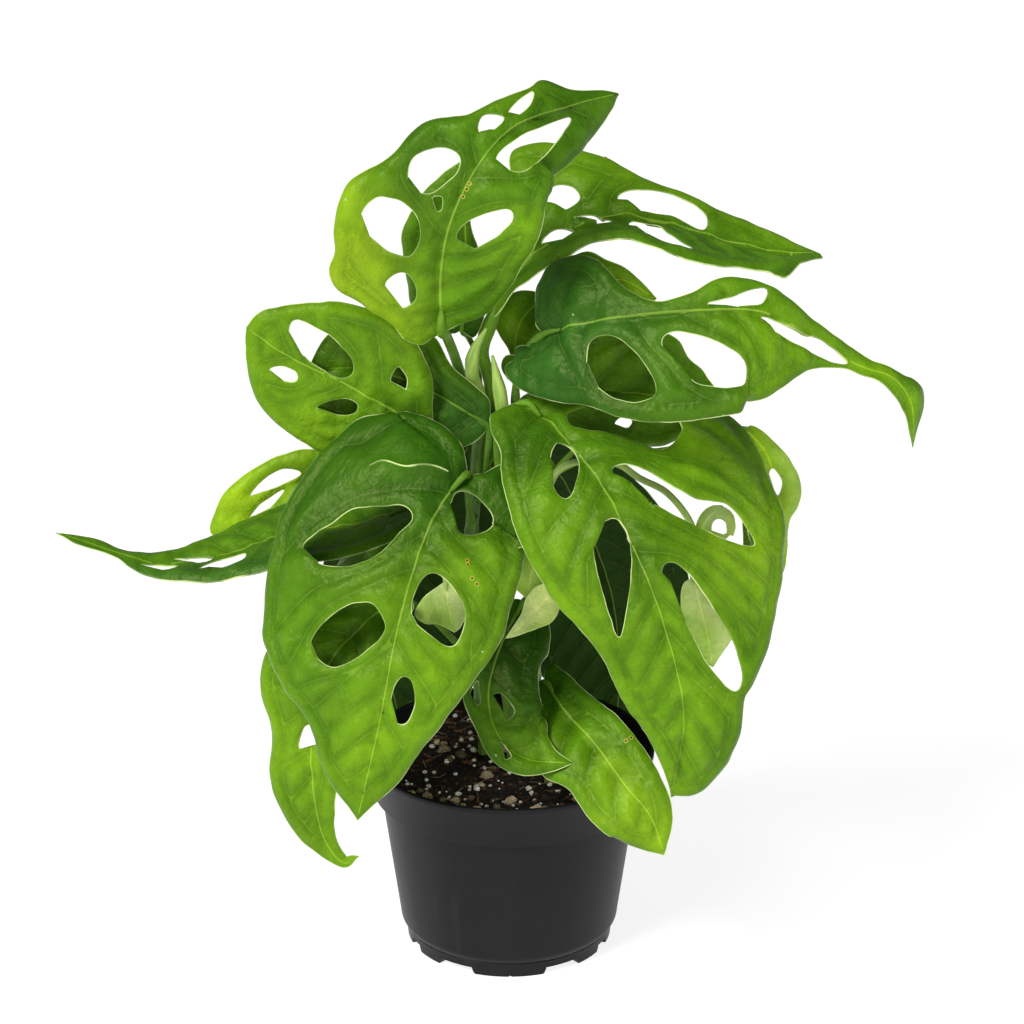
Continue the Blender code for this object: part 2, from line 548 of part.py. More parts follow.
# Curves and tubes


def smooth_line(points, steps=CURVE_STEPS):
    """A Catmull-Rom curve through the points."""
    knots = np.asarray(points, float)
    ends = np.vstack([2 * knots[0] - knots[1], knots, 2 * knots[-1] - knots[-2]])
    line = []
    for before, start, end, after in zip(ends, ends[1:], ends[2:], ends[3:]):
        for s in np.linspace(0, 1, steps, endpoint=False):
            line.append(
                0.5 * (2 * start + (end - before) * s + (2 * before - 5 * start + 4 * end - after) * s**2
                       + (3 * start - before - 3 * end + after) * s**3)
            )
    line.append(knots[-1])
    return np.array(line)


def lengths_along(line):
    return np.concatenate([[0], np.cumsum(np.linalg.norm(np.diff(line, axis=0), axis=1))])


def spaced(line, step):
    """Points about one step apart along a line, both ends kept."""
    along = lengths_along(line)
    count = max(2, round(along[-1] / step) + 1)
    at = np.linspace(0, along[-1], count)
    return np.stack([np.interp(at, along, line[:, i]) for i in range(line.shape[1])], axis=1)


def tube_mesh(name, line, radii, bevel_resolution):
    """A closed tube along a line, from a curve with filled caps."""
    curve = bpy.data.curves.new(name, "CURVE")
    curve.dimensions = "3D"
    curve.bevel_depth = MM
    curve.bevel_resolution = bevel_resolution
    curve.use_fill_caps = True
    spline = curve.splines.new("POLY")
    spline.points.add(len(line) - 1)
    for point, place, radius in zip(spline.points, line, radii):
        point.co = (*(place * MM), 1)
        point.radius = radius
    holder = bpy.data.objects.new(name, curve)
    mesh = bpy.data.meshes.new_from_object(holder)
    bpy.data.objects.remove(holder)
    bm = bmesh.new()
    bm.from_mesh(mesh)
    bmesh.ops.remove_doubles(bm, verts=bm.verts, dist=MERGE)
    bmesh.ops.recalc_face_normals(bm, faces=bm.faces)
    bm.to_mesh(mesh)
    bm.free()
    mesh.shade_smooth()
    return mesh


# Pot


def turned(name, profile, collection, made):
    """A solid turned round the z axis from its profile, given top to bottom down the outer side."""
    mesh = bpy.data.meshes.new(name)
    edges = [(i, i + 1) for i in range(len(profile) - 1)]
    mesh.from_pydata([(r * MM, 0, z * MM) for r, z in profile], edges, [])
    obj = mesh_object(name, mesh, collection, made)
    screw = obj.modifiers.new("turn", "SCREW")
    screw.steps = POT_STEPS
    screw.render_steps = POT_STEPS
    screw.use_merge_vertices = True
    screw.merge_threshold = MERGE
    screw.use_normal_calculate = True
    return obj


def cylinder_mesh(name, radius, bottom, top, centre):
    bm = bmesh.new()
    bmesh.ops.create_cone(bm, cap_ends=True, segments=ROUND_STEPS, radius1=radius * MM, radius2=radius * MM,
                          depth=(top - bottom) * MM)
    bmesh.ops.translate(bm, verts=bm.verts, vec=Vector((centre[0], centre[1], (top + bottom) / 2)) * MM)
    return bmesh_to_mesh(name, bm)


def joined_mesh(name, meshes):
    bm = bmesh.new()
    for mesh in meshes:
        bm.from_mesh(mesh)
    return bmesh_to_mesh(name, bm)


def ring_point(radius, angle, height):
    return (radius * math.cos(angle) * MM, radius * math.sin(angle) * MM, height * MM)


def foot_gap(name, start, end):
    """The wedge between two feet, as one closed body, by angles in degrees round the pot."""
    angles = np.radians([start, (start + end) / 2, end])
    bm = bmesh.new()
    corners = [ring_point(FOOT_RADIUS - FOOT_CUT, a, -1) for a in angles]
    corners += [ring_point(FOOT_RADIUS + FOOT_CUT, a, -1) for a in reversed(angles)]
    face = bm.faces.new([bm.verts.new(corner) for corner in corners])
    made = bmesh.ops.extrude_face_region(bm, geom=[face])
    raised = [v for v in made["geom"] if isinstance(v, bmesh.types.BMVert)]
    bmesh.ops.translate(bm, verts=raised, vec=(0, 0, (FOOT_OPENING + 1) * MM))
    bmesh.ops.recalc_face_normals(bm, faces=bm.faces)
    return bmesh_to_mesh(name, bm)


def inner_wall():
    """The pot's inner side from the floor to just under the rim."""
    return [
        (FOOT_RADIUS - WALL, FOOT_HEIGHT + WALL),
        (WALL_BOTTOM_RADIUS - WALL + 1, FOOT_HEIGHT + WALL_TURN),
        (WALL_TOP_RADIUS - WALL, BAND_BOTTOM + LEDGE[0]),
        (BAND_BOTTOM_RADIUS - WALL + 0.4, BAND_BOTTOM + LEDGE[1]),
        (RIM_RADIUS - RIM_WIDTH, POT_HEIGHT - RIM_LIP),
    ]


def rim_and_band():
    return [
        (RIM_RADIUS - RIM_WIDTH + RIM_LIP, POT_HEIGHT),
        (RIM_RADIUS - RIM_EDGE, POT_HEIGHT),
        (RIM_RADIUS, POT_HEIGHT - RIM_LIP),
        (RIM_RADIUS - RIM_EDGE, POT_HEIGHT - 2 * WALL),
        (BAND_BOTTOM_RADIUS, BAND_BOTTOM + RIM_EDGE),
        (BAND_BOTTOM_RADIUS - RIM_EDGE, BAND_BOTTOM),
    ]


def wall_and_foot():
    return [
        (WALL_TOP_RADIUS, BAND_BOTTOM),
        (WALL_BOTTOM_RADIUS + 1, FOOT_HEIGHT + WALL_TURN),
        (WALL_BOTTOM_RADIUS, FOOT_HEIGHT + WALL_TURN / 2),
        (FOOT_RADIUS + RIDGE, FOOT_HEIGHT + RIDGE / 2),
        (FOOT_RADIUS, FOOT_HEIGHT - RIDGE / 2),
        (FOOT_RADIUS - RIDGE, 0),
        (FOOT_RADIUS - FOOT_DEPTH, 0),
        (FOOT_RADIUS - FOOT_DEPTH, FOOT_HEIGHT),
    ]


def make_pot(collection, helpers):
    profile = [(0, FOOT_HEIGHT + WALL), *inner_wall(), *rim_and_band(), *wall_and_foot(), (0, FOOT_HEIGHT)]
    pot = turned("pot", profile, collection, material("black_plastic", (0.028, 0.028, 0.028), 0.5))
    cuts = []
    for middle in (90, 270):
        for start, end in FOOT_GAPS:
            cuts.append(foot_gap("gap", middle + start, middle + end))
            cuts.append(foot_gap("gap", middle - end, middle - start))
    for turn in np.linspace(0, 2 * math.pi, DRAIN_COUNT, endpoint=False):
        at = (DRAIN_RING * math.cos(turn), DRAIN_RING * math.sin(turn))
        cuts.append(cylinder_mesh("drain", DRAIN_RADIUS, FOOT_HEIGHT - WALL, FOOT_HEIGHT + 2 * WALL, at))
    cutter = mesh_object("pot_cutter", joined_mesh("pot_cutter", cuts), helpers)
    boolean(pot, as_helper(cutter), "DIFFERENCE")
    return pot


# Soil


def soil_height(radius):
    return SOIL_EDGE + SOIL_MOUND * (1 - (radius / BAND_BOTTOM_RADIUS) ** 2)


def grain_places():
    """Places and sizes for the grains, clear of each other and of the stems."""
    draw = random.Random(GRAIN_SEED)
    taken = [(np.array(points[0][:2]), STEM_RADIUS + STEM_ROOM) for points in STEMS.values()]
    grains = []
    while len(grains) < GRAIN_COUNT:
        size = draw.choice(GRAIN_SIZES)
        reach = (BAND_BOTTOM_RADIUS - size - GRAIN_MARGIN) * math.sqrt(draw.random())
        turn = draw.uniform(0, 2 * math.pi)
        at = np.array([reach * math.cos(turn), reach * math.sin(turn)])
        if all(np.linalg.norm(at - other) > GRAIN_ROOM * (size + room) + GAP for other, room in taken):
            taken.append((at, size))
            grains.append((at, size, reach))
    return grains


def grain_mesh(draw, at, size, reach):
    """An uneven grain that is a little more than half sunk in the soil."""
    bm = bmesh.new()
    bmesh.ops.create_icosphere(bm, subdivisions=1, radius=size * MM)
    for vertex in bm.verts:
        vertex.co *= draw.uniform(*GRAIN_ROUGHNESS)
        vertex.co.z *= GRAIN_FLATNESS
    height = soil_height(reach) + size * GRAIN_RISE
    bmesh.ops.translate(bm, verts=bm.verts, vec=Vector((*at, height)) * MM)
    return bmesh_to_mesh("grain", bm)


def make_soil(collection, helpers):
    wall = [(r - GAP, z + GAP) for r, z in inner_wall()]
    edge = np.interp(SOIL_EDGE, [z for r, z in wall], [r for r, z in wall])
    top = [(r, soil_height(r)) for r in (0, *SOIL_RINGS)]
    profile = [*top, (edge, SOIL_EDGE), *wall[3::-1], (0, wall[0][1])]
    soil = turned("soil", profile, collection, material("potting_mix", (0.03, 0.02, 0.014), 0.95))
    draw = random.Random(GRAIN_SEED + 1)
    grains = [grain_mesh(draw, *grain) for grain in grain_places()]
    boolean(soil, as_helper(mesh_object("grains", joined_mesh("grains", grains), helpers)), "UNION")
    holes = joined_mesh("stem_holes", [
        cylinder_mesh("stem_hole", STEM_RADIUS + STEM_ROOM, STEM_FOOT - GAP, POT_HEIGHT, points[0])
        for points in STEMS.values()
    ])
    boolean(soil, as_helper(mesh_object("stem_holes", holes, helpers)), "DIFFERENCE")
    return soil


# Stems


def stem_line(name):
    return spaced(smooth_line(STEMS[name]), STEM_STEP)


def stem_radii(name, line):
    return np.interp(line[:, 2], [STEM_TOPS[name], line[-1, 2]], [STEM_RADIUS, STEM_TIP_RADIUS])


def make_stem(name, collection, made):
    line = stem_line(name)
    return mesh_object(name, tube_mesh(name, line, stem_radii(name, line), STEM_BEVEL), collection, made)


# Leaves


def unit(rows):
    return rows / np.linalg.norm(rows, axis=1, keepdims=True)


def blend(values, share):
    """Values given at even steps along the leaf, at each share of its length."""
    rows = np.asarray(values, float)
    steps = np.linspace(0, 1, len(rows))
    return np.stack([np.interp(share, steps, rows[:, i]) for i in range(rows.shape[1])], axis=1)


def bend(leaf, flat):
    """Points of the flat pattern in space, and the midrib's length."""
    line = smooth_line(leaf["spine"])
    along = lengths_along(line)
    tangents = unit(np.gradient(line, along, axis=0))
    u, v = np.asarray(flat, float).T
    inside = np.clip(u, 0, along[-1])
    share = inside / along[-1]
    ahead = unit(np.stack([np.interp(inside, along, tangents[:, i]) for i in range(3)], axis=1))
    centre = np.stack([np.interp(inside, along, line[:, i]) for i in range(3)], axis=1)
    centre = centre + (u - inside)[:, None] * ahead
    face = blend(leaf["face"], share)
    up = unit(face - np.sum(face * ahead, axis=1, keepdims=True) * ahead)
    across = np.cross(ahead, up)
    side = np.where(v < 0, 0, 1)
    rows = np.arange(len(v))
    fold = np.radians(blend(leaf["fold"], share))[rows, side]
    turn = np.radians(blend(leaf["curl"], share))[rows, side] / CURL_WIDTH
    turn = np.where(np.abs(turn) < TINY, TINY, turn)
    end = fold + turn * np.abs(v)
    out = np.sign(v) * (np.sin(end) - np.sin(fold)) / turn
    rise = (np.cos(fold) - np.cos(end)) / turn
    return centre + out[:, None] * across + rise[:, None] * up, along[-1]


def inside_loop(points, loop):
    """Which of the flat points lie inside a closed loop."""
    x, y = points[:, :1], points[:, 1:]
    ax, ay = loop.T
    bx, by = np.roll(loop, -1, axis=0).T
    crosses = ((ay > y) != (by > y)) & (x < (bx - ax) * (y - ay) / (by - ay + TINY) + ax)
    return crosses.sum(axis=1) % 2 == 1


def edge_loop(leaf, length):
    """The leaf's edge, from the stalk up one side to the tip and back down the other."""
    sides = [
        spaced(smooth_line([(0, 0)] + leaf[side] + [(length, 0)], EDGE_CURVE_STEPS), EDGE_STEP)
        for side in ("right", "left")
    ]
    return np.vstack([sides[0], sides[1][-2:0:-1]])


def hole_loop(points):
    closed = points[-2:] + points + points[:2]
    spare = 2 * EDGE_CURVE_STEPS
    line = smooth_line(closed, EDGE_CURVE_STEPS)[spare:-spare]
    return spaced(line, min(HOLE_STEP, lengths_along(line)[-1] / LEAST_HOLE_POINTS))[:-1]


def inside_blade(points, loops):
    keep = inside_loop(points, loops[0])
    for hole in loops[1:]:
        keep &= ~inside_loop(points, hole)
    return keep


def inner_points(loops, length):
    """Points inside the blade that carry its bends: the midrib and a staggered grid."""
    low, high = loops[0].min(axis=0), loops[0].max(axis=0)
    points = [(u, 0) for u in np.arange(INNER_STEP / 2, length - INNER_STEP / 2, INNER_STEP * RIB_SHARE)]
    for n, v in enumerate(np.arange(low[1], high[1], INNER_STEP * ROW_SHARE)):
        if abs(v) > INNER_STEP / 2:
            points += [(u, v) for u in np.arange(low[0] + n % 2 * INNER_STEP / 2, high[0], INNER_STEP)]
    points = np.array(points)
    distance = np.linalg.norm(points[:, None] - np.vstack(loops)[None], axis=2).min(axis=1)
    return points[inside_blade(points, loops) & (distance > INNER_STEP * EDGE_SHARE)]


def flat_pattern(leaf, length):
    """The pattern as flat triangles."""
    loops = [edge_loop(leaf, length)] + [hole_loop(hole) for hole in leaf["holes"]]
    edges = []
    start = 0
    for loop in loops:
        edges += [(start + i, start + (i + 1) % len(loop)) for i in range(len(loop))]
        start += len(loop)
    points = np.vstack(loops + [inner_points(loops, length)])
    found = geometry.delaunay_2d_cdt([Vector(p) for p in points], edges, [], 0, MERGE)
    flat = np.array([tuple(p) for p in found[0]])
    triangles = np.array(found[2])
    keep = inside_blade(flat[triangles].mean(axis=1), loops)
    return flat, triangles[keep][:, ::-1]


def stalk_line(leaf):
    """From just clear of the stem, straight out of it, to a little way along the midrib."""
    stem, height, between, radius = leaf["stalk"]
    core = stem_line(stem)
    centre = np.array([np.interp(height, core[:, 2], core[:, i]) for i in range(3)])
    stem_radius = np.interp(height, core[:, 2], stem_radii(stem, core))
    rib = spaced(smooth_line(leaf["spine"]), STALK_OVERLAP)
    out = np.array(between[0], float) - centre
    out[2] = 0
    out = out / np.linalg.norm(out)
    start = centre + out * (stem_radius + 2 * GAP)
    turn = start + out * (radius + STALK_RUN)
    line = smooth_line([turn, *(np.array(p, float) for p in between), rib[0], rib[1]])
    return np.vstack([start, spaced(line, STALK_STEP)])


def make_leaf(name, leaf, collection, helpers, made):
    length = bend(leaf, [(0, 0)])[1]
    flat, triangles = flat_pattern(leaf, length)
    mesh = bpy.data.meshes.new(name)
    mesh.from_pydata(bend(leaf, flat)[0] * MM, [], triangles.tolist())
    mesh.shade_smooth()
    obj = mesh_object(name, mesh, collection, made)
    solid = obj.modifiers.new("thickness", "SOLIDIFY")
    solid.thickness = BLADE * MM
    solid.offset = 0
    line = stalk_line(leaf)
    radii = leaf["stalk"][3] * np.array([1] * (len(line) - 2) + list(STALK_TAPER))
    stalk = mesh_object(name + "_stalk", tube_mesh(name, line, radii, STALK_BEVEL), helpers)
    boolean(obj, as_helper(stalk), "UNION")
    return obj


def move_origin(pieces):
    """Moves the pieces so that the origin is the bottom centre of their box."""
    bpy.context.view_layer.update()
    graph = bpy.context.evaluated_depsgraph_get()
    corners = np.array([
        tuple(obj.evaluated_get(graph).matrix_world @ Vector(corner))
        for obj in pieces
        for corner in obj.evaluated_get(graph).bound_box
    ])
    low, high = corners.min(axis=0), corners.max(axis=0)
    shift = Vector((-(low[0] + high[0]) / 2, -(low[1] + high[1]) / 2, -low[2]))
    for obj in bpy.data.objects:
        obj.location += shift


def main():
    clear_scene()
    plant = new_collection("monstera_adansonii")
    helpers = new_collection("helpers")
    pieces = [make_pot(plant, helpers), make_soil(plant, helpers)]
    stem_green = material("stem_green", (0.16, 0.3, 0.06), 0.45)
    for name in STEMS:
        pieces.append(make_stem(name, plant, stem_green))
    for name, leaf in LEAVES.items():
        pieces.append(make_leaf(name, leaf, plant, helpers, material(name + "_green", leaf["green"], 0.4)))
    move_origin(pieces)


main()
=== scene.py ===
"""The looks of a potted monstera adansonii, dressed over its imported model.

Lengths are in millimetres, from the pot's axis at the floor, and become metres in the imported
frame when a mesh is made. Each leaf is worked out again from the pattern of its solid, with finer
steps, its veins and a thin edge.
"""

import json
import math
import random

import bmesh
import bpy
import numpy as np
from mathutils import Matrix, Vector, geometry, kdtree, noise


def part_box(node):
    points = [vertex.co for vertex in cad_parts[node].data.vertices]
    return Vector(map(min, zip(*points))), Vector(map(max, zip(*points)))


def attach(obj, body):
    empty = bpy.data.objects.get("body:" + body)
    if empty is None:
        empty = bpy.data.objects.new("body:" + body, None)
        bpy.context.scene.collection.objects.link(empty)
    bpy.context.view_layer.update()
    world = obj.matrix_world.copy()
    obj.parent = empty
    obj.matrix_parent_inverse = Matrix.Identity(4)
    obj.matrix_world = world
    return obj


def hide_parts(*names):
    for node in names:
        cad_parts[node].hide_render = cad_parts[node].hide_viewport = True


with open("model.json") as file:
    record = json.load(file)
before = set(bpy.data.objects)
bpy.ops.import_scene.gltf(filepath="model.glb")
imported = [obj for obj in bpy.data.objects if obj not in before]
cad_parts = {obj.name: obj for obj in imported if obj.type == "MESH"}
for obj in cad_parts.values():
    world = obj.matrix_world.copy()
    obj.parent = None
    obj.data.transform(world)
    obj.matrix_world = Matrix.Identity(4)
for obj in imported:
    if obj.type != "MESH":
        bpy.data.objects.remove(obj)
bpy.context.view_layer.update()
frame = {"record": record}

MM = 0.001
TINY = 1e-9

# The pot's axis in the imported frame
POT_LOW, POT_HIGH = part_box("pot")
SHIFT = Vector(((POT_LOW.x + POT_HIGH.x) / 2, (POT_LOW.y + POT_HIGH.y) / 2, POT_LOW.z))

# The record's material slot of each node
SLOTS = {part["node"]: part["material_slot"] for part in frame["record"]["subparts"]}

# Camera, from the photograph's perspective
VIEW_TARGET = (1.5, 0.0, 234.7)
VIEW_DISTANCE = 1500.0
VIEW_ELEVATION = 20.9
LENS = 105.3
SENSOR = 36.0

# Light, with places and sizes in metres
WORLD_LIGHT = 0.22
FLOOR_GLOW = 0.82
FLOOR_SIZE = 120.0
LIGHT_AIM = (0, 0, 0.22)
SUN = 2.7
SUN_ANGLE = 20.0
SUN_FROM = (-0.8, -0.8, 1.4)
LIGHTS = [  # name, place, size and watts
    ("key", (-1.2, -1.4, 1.3), 0.8, 12.0),
    ("side", (1.7, -0.5, 0.8), 0.8, 7.0),
    ("front", (0.2, -1.7, 0.6), 0.5, 6.0),
]

# Pot
RIM_RADIUS = 75.0
RIM_WIDTH = 2.2
RIM_ROUND = 0.75
RIM_ROUND_INSIDE = 0.55
POT_HEIGHT = 105.8
BAND_BOTTOM = 83.0
BAND_BOTTOM_RADIUS = 70.2
WALL_TOP_RADIUS = 66.3
WALL_BOTTOM_RADIUS = 55.9
FLOOR_ROUND = 5.0
FOOT_HEIGHT = 7.4
FOOT_OPENING = 3.9
FOOT_RADIUS = 53.8
FOOT_DEPTH = 5.0
FOOT_ROUND = 0.7
FOOT_GAPS = [(21.0, 40.6), (60.2, 69.0)]  # degrees, on both sides of the front and the back foot's middle
FOOT_SIDES = [(-1, 3.0), (0, 2.5), (0.5, 1.5), (1.4, 0.9), (FOOT_OPENING, 0)]  # heights, and degrees cut more
WALL_TURN = 6.4  # above the feet, where the wall turns in
WALL = 1.6
POT_STEPS = 192
POT_SHARP_ANGLE = 34.0
DRAIN_RADIUS = 3.5
DRAIN_RING = 34.0
DRAIN_COUNT = 8

# Mix
SOIL_EDGE = 97.0
SOIL_MOUND = 2.5
SOIL_SEED = 11
SOIL_CALM_FROM = 73.0  # the bumps grow from nothing here inward
SOIL_CALM = 6.0
SOIL_BUMPS = [(1.0, 9), (0.7, 3.1), (0.35, 1.3)]  # heights, and how far apart
BED_RADIUS = 70.9
BED_RINGS = 70
BED_STEPS = 200
BED_SKIRT = 10.0
GRAIN_REACH = 69.0
FIBRE_REACH = 60.0
FIBRE_COUNT = 70
FIBRE_POINTS = 5
FIBRE_STEP = 2.2
FIBRE_RADII = (0.12, 0.3)

# Places of grains of perlite and of lumps on the patch of mix that shows at the front
PERLITE_AT_RIM = [(-19, -66), (-13, -67), (-2, -68), (10, -67.5), (22, -66), (-32, -60), (31, -60),
                  (-26, -56), (-38, -50), (-22, -48), (-8, -60), (4, -58), (-30, -44), (-14, -52), (-50, -44),
                  (-43, -54), (-35, -40), (-24, -62), (-40, -32), (16, -52), (-3, -50), (-20, -38)]
LUMPS_AT_RIM = [(-28, -62), (-16, -60), (-36, -56), (-23, -54), (-6, -56), (14, -60), (-41, -45),
                (-33, -48), (-45, -38), (-27, -49), (-19, -46), (-12, -63), (-47, -49)]

# The kinds of loose grains: how many, smallest and largest size, shape, and how deep they sit
GRAINS = {
    "perlite": dict(count=190, sizes=(0.55, 2.1), stretch=(1, 0.95, 0.8), divisions=2, rough=0.3, sunk=0.35,
                    spots=PERLITE_AT_RIM),
    "bark_bits": dict(count=300, sizes=(0.8, 3.2), stretch=(1, 0.45, 0.25), divisions=1, rough=0.5, sunk=0.3,
                      smooth=False),
    "crumbs": dict(count=40, sizes=(1.8, 4.2), stretch=(1, 0.85, 0.75), divisions=3, rough=0.45, sunk=0.4,
                   spots=LUMPS_AT_RIM),
}

# Stems
STEM_RADIUS = 3.4
STEM_FOOT = 70.0
STEM_TOPS = {"stem_left": 318, "stem_front": 304, "stem_right": 280}
STEM_TIP_RADIUS = 0.7
STEM_STEP = 1.5
STEM_SIDES = 20
STEM_JOINTS = 24.0  # distance between the rings where old leaves grew
STEM_JOINT_RISE, STEM_JOINT_REACH = 0.5, 1.6
STEM_JOINT_TONE, STEM_JOINT_LINE = 0.35, 1.2  # darkening of a ring, and its reach
STEM_OLD = (270, 280)  # heights between which the rings fade
STEM_YOUNG = (275, 300)  # heights between which the stem turns pale
STEMS = {
    "stem_left": [(-13, 4, STEM_FOOT), (-13, 4, 112), (-17, -3, 165), (-19, -8, 220), (-14, -4, 288),
                  (-18, -6, 309), (-17, -9, 322), (-11, -10, 334)],
    "stem_front": [(2, -6, STEM_FOOT), (2, -6, 112), (-3, -12, 165), (-5, -12, 230), (-3, -10, 280),
                   (-4, -12, 299), (-8, -13, 321)],
    "stem_right": [(14, 10, STEM_FOOT), (14, 10, 112), (12, 5, 165), (8, 2, 230), (4, 4, 286), (4, 5, 306)],
}

# Blades
BLADE = 0.6  # thickness
EDGE_BLADE = 0.35  # thickness at the edge
THIN_EDGE = 1.5  # width of the strip that thins to the edge
EDGE_STEP = 1.7  # distance between points on a leaf's edge
HOLE_STEP = 1.2
GRID_STEP = 2.1  # distance between points inside a blade
VEIN_POINT_STEP = 1.9
CURL_WIDTH = 50.0
CURVE_STEPS = 24
EDGE_CURVE_STEPS = 12
EDGE_JITTER = 0.45
JITTER_SIZE = 7.0
RIB_EDGE = 1.1  # from the midrib to the rows of points beside it
EDGE_ROW = 0.75  # from an edge to the first row of points inside it
EDGE_CLEAR = 0.88  # what a row moved inward keeps from every edge, as a share of its move
LINE_END = 1.4  # from an edge to the end of a vein or fold
GRID_ROWS = 0.87  # from one row of the grid to the next, in grid steps
GRID_CLEAR = 0.48  # from the grid's points to the others, in grid steps
LEAST_WIDTH = 4.0  # of one side of a blade
FAR = 30.0  # the distance written where a vein or an edge is further away
STALK_STEP = 1.6
STALK_SIDES = 12
STALK_OVERLAP = 12.0
SHEATH, SHEATH_REACH = 0.55, 9  # swelling of the stalk at the stem
KNEE, KNEE_PLACE, KNEE_REACH = 0.22, 19, 6  # swelling before the blade
STALK_TAPER = [(0, 0.35), (4, 0.7), (12, 1)]  # distances from the stalk's end, and its thickness there
SPOT_SIZES = (0.7, 1.3)  # radii of a dead spot and of the ring round it

# Veins
VEIN_GAP = 19.0  # distance between side veins along the midrib
LARGE_LEAF = 4 * VEIN_GAP  # a leaf longer than this has veins in its lobes and along its edge
VEIN_ANGLES = [(0, 74), (0.3, 54), (1, 34)]  # from the midrib, at each share of its length
BASE_VEINS = (102, 130, 156)  # angles of the veins in the lobes beside the stalk
LEAST_VEINS = 5  # on each side of a short leaf without holes
VEIN_RANGE = (0.06, 0.94)  # where a vein beside a hole may start
HOLE_LEAD = 0.7  # how far before a hole it starts, as a share of the hole's distance
VEIN_STRIDE = 4.5
VEIN_STRIDES = 32
VEIN_TURN = 1.7  # degrees that a side vein turns to the tip in a stride
VEIN_LEAST_ANGLE = 8
VEIN_CLEARANCE = 4.5  # from a side vein to a hole
VEIN_PUSHES = 24
MARGIN_VEIN = 8.0  # from the edge to the vein that runs along it

# Relief of a blade: heights, and how far each form reaches
RIB_THINNING = 0.8  # share of its thickness that the midrib loses up to the tip
RIB_END = 4.0  # from the midrib's end to the tip
RIB_ABOVE, RIB_ABOVE_REACH = 0.16, 0.8
RIB_BELOW, RIB_BELOW_REACH, RIB_BELOW_SPREAD = 0.75, 0.5, 0.45
VEIN_BELOW, VEIN_BELOW_REACH = 0.3, 1.1
PUFF = 2.5  # how far the blade swells between its veins
PUFF_REACH = 6.0
PUFF_CHANGE, PUFF_CHANGE_SIZE = 0.6, 18
GROOVE = 0.25  # depth of the groove along a vein
GROOVE_REACH = 1.2
VALLEY = 2.8  # depth of the valley along the midrib
VALLEY_REACH = 5.5
WAVE, WAVE_SIZE, WAVE_START = 2.0, 32, 22  # full height from that far off the midrib
FRILL, FRILL_SIZE, FRILL_REACH = 1.3, 15, 6
RIPPLE, RIPPLE_SIZE = 0.5, 8
ROLL, ROLL_REACH = 1.8, 5  # how far the leaf's edge turns back
HOLE_ROLL, HOLE_ROLL_REACH = 0.6, 3
CREASE_RISE = 1.3  # height of a fold in the blade
CREASE_WIDTH = 0.9
CRUMPLE_SIZE = 12
NARROW, MIDDLING, WIDE = 9, 20, 30  # widths from which a form has its full height

# Colours of leaves, from shaded to young
COLOURS = {
    "shade": (0.01, 0.038, 0.003),
    "deep": (0.026, 0.1, 0.003),
    "blue": (0.03, 0.115, 0.012),
    "mid": (0.085, 0.22, 0.005),
    "fresh": (0.15, 0.32, 0.006),
    "bright": (0.25, 0.45, 0.01),
    "yellow": (0.44, 0.62, 0.015),
    "pale": (0.45, 0.66, 0.12),
    "cream": (0.66, 0.82, 0.34),
    "young": (0.8, 0.94, 0.36),
}
STALK_COLOUR = (0.15, 0.29, 0.03)
STALK_SHARE = 0.55  # of the stalk's own colour in it, the rest is its leaf's
TINT_GAIN = 0.86
SIDE_SHARE = 0.85  # of a side's colour at its edge
MOTTLES = [(34, 0.24), (11, 0.1)]  # sizes and strengths of lighter and darker patches
WARMTH = (0.25, 0.05, -0.125)  # what the lightest patches add to red, green and blue
PUFF_PAINTED_LIGHT = 0.08  # painted light on the swellings
HOLLOW_PAINTED_SHADE = 0.89  # painted shade in the hollows between them
PATCH_SHARE = 0.7  # how much a patch changes the colour at its middle
LEAF_SHINE = 0.22
DULL_SHINE = 0.06  # of the leaves that hang behind
LEAF_SHINE_TINT = (0.9, 1.0, 0.4)

# these hold painted shade where a leaf lies under others and painted light on lit sides, besides its own
# colour
# these too hold painted shade and painted light as well as the leaf's own colour
# Each leaf is a flat pattern, bent along its midrib. In the pattern the first number runs along
# the midrib from the stalk and the second across it, to the right as seen with the stalk at the
# bottom and the upper face in view.
#   spine: the midrib in space
#   face: the way the upper face looks, at even steps from the stalk to the tip
#   fold: how far the left and right sides lift at the midrib, in degrees, at even steps too
#   curl: how far they turn up over CURL_WIDTH, or back where it is less than 0, likewise; in both,
#     one number holds for the two sides
#   right, left: the edge from the stalk to the tip, on each side
#   holes: the holes between the side veins
#   stalk: the stem it grows from, how high up, the points between, and the stalk's radius
#   look: the colours at the stalk, at the tip and along the left and right edges
#   creases: raised folds in the blade, each as a line
#   patches: a place, how far round it, and the colour that it takes on
#   spots: small dead spots
#   crumple: height of a young leaf's small folds
#   relief: a share of the relief that other leaves have
#   below: the underside's colour, on leaves that hang behind: a near black painted shade
#
# PLAIN is what a leaf has where its entry doesn't say.
PLAIN = dict(fold=[0], curl=[-10], holes=[], creases=[], patches=[], spots=[], crumple=0, relief=1)
LEAVES = {}
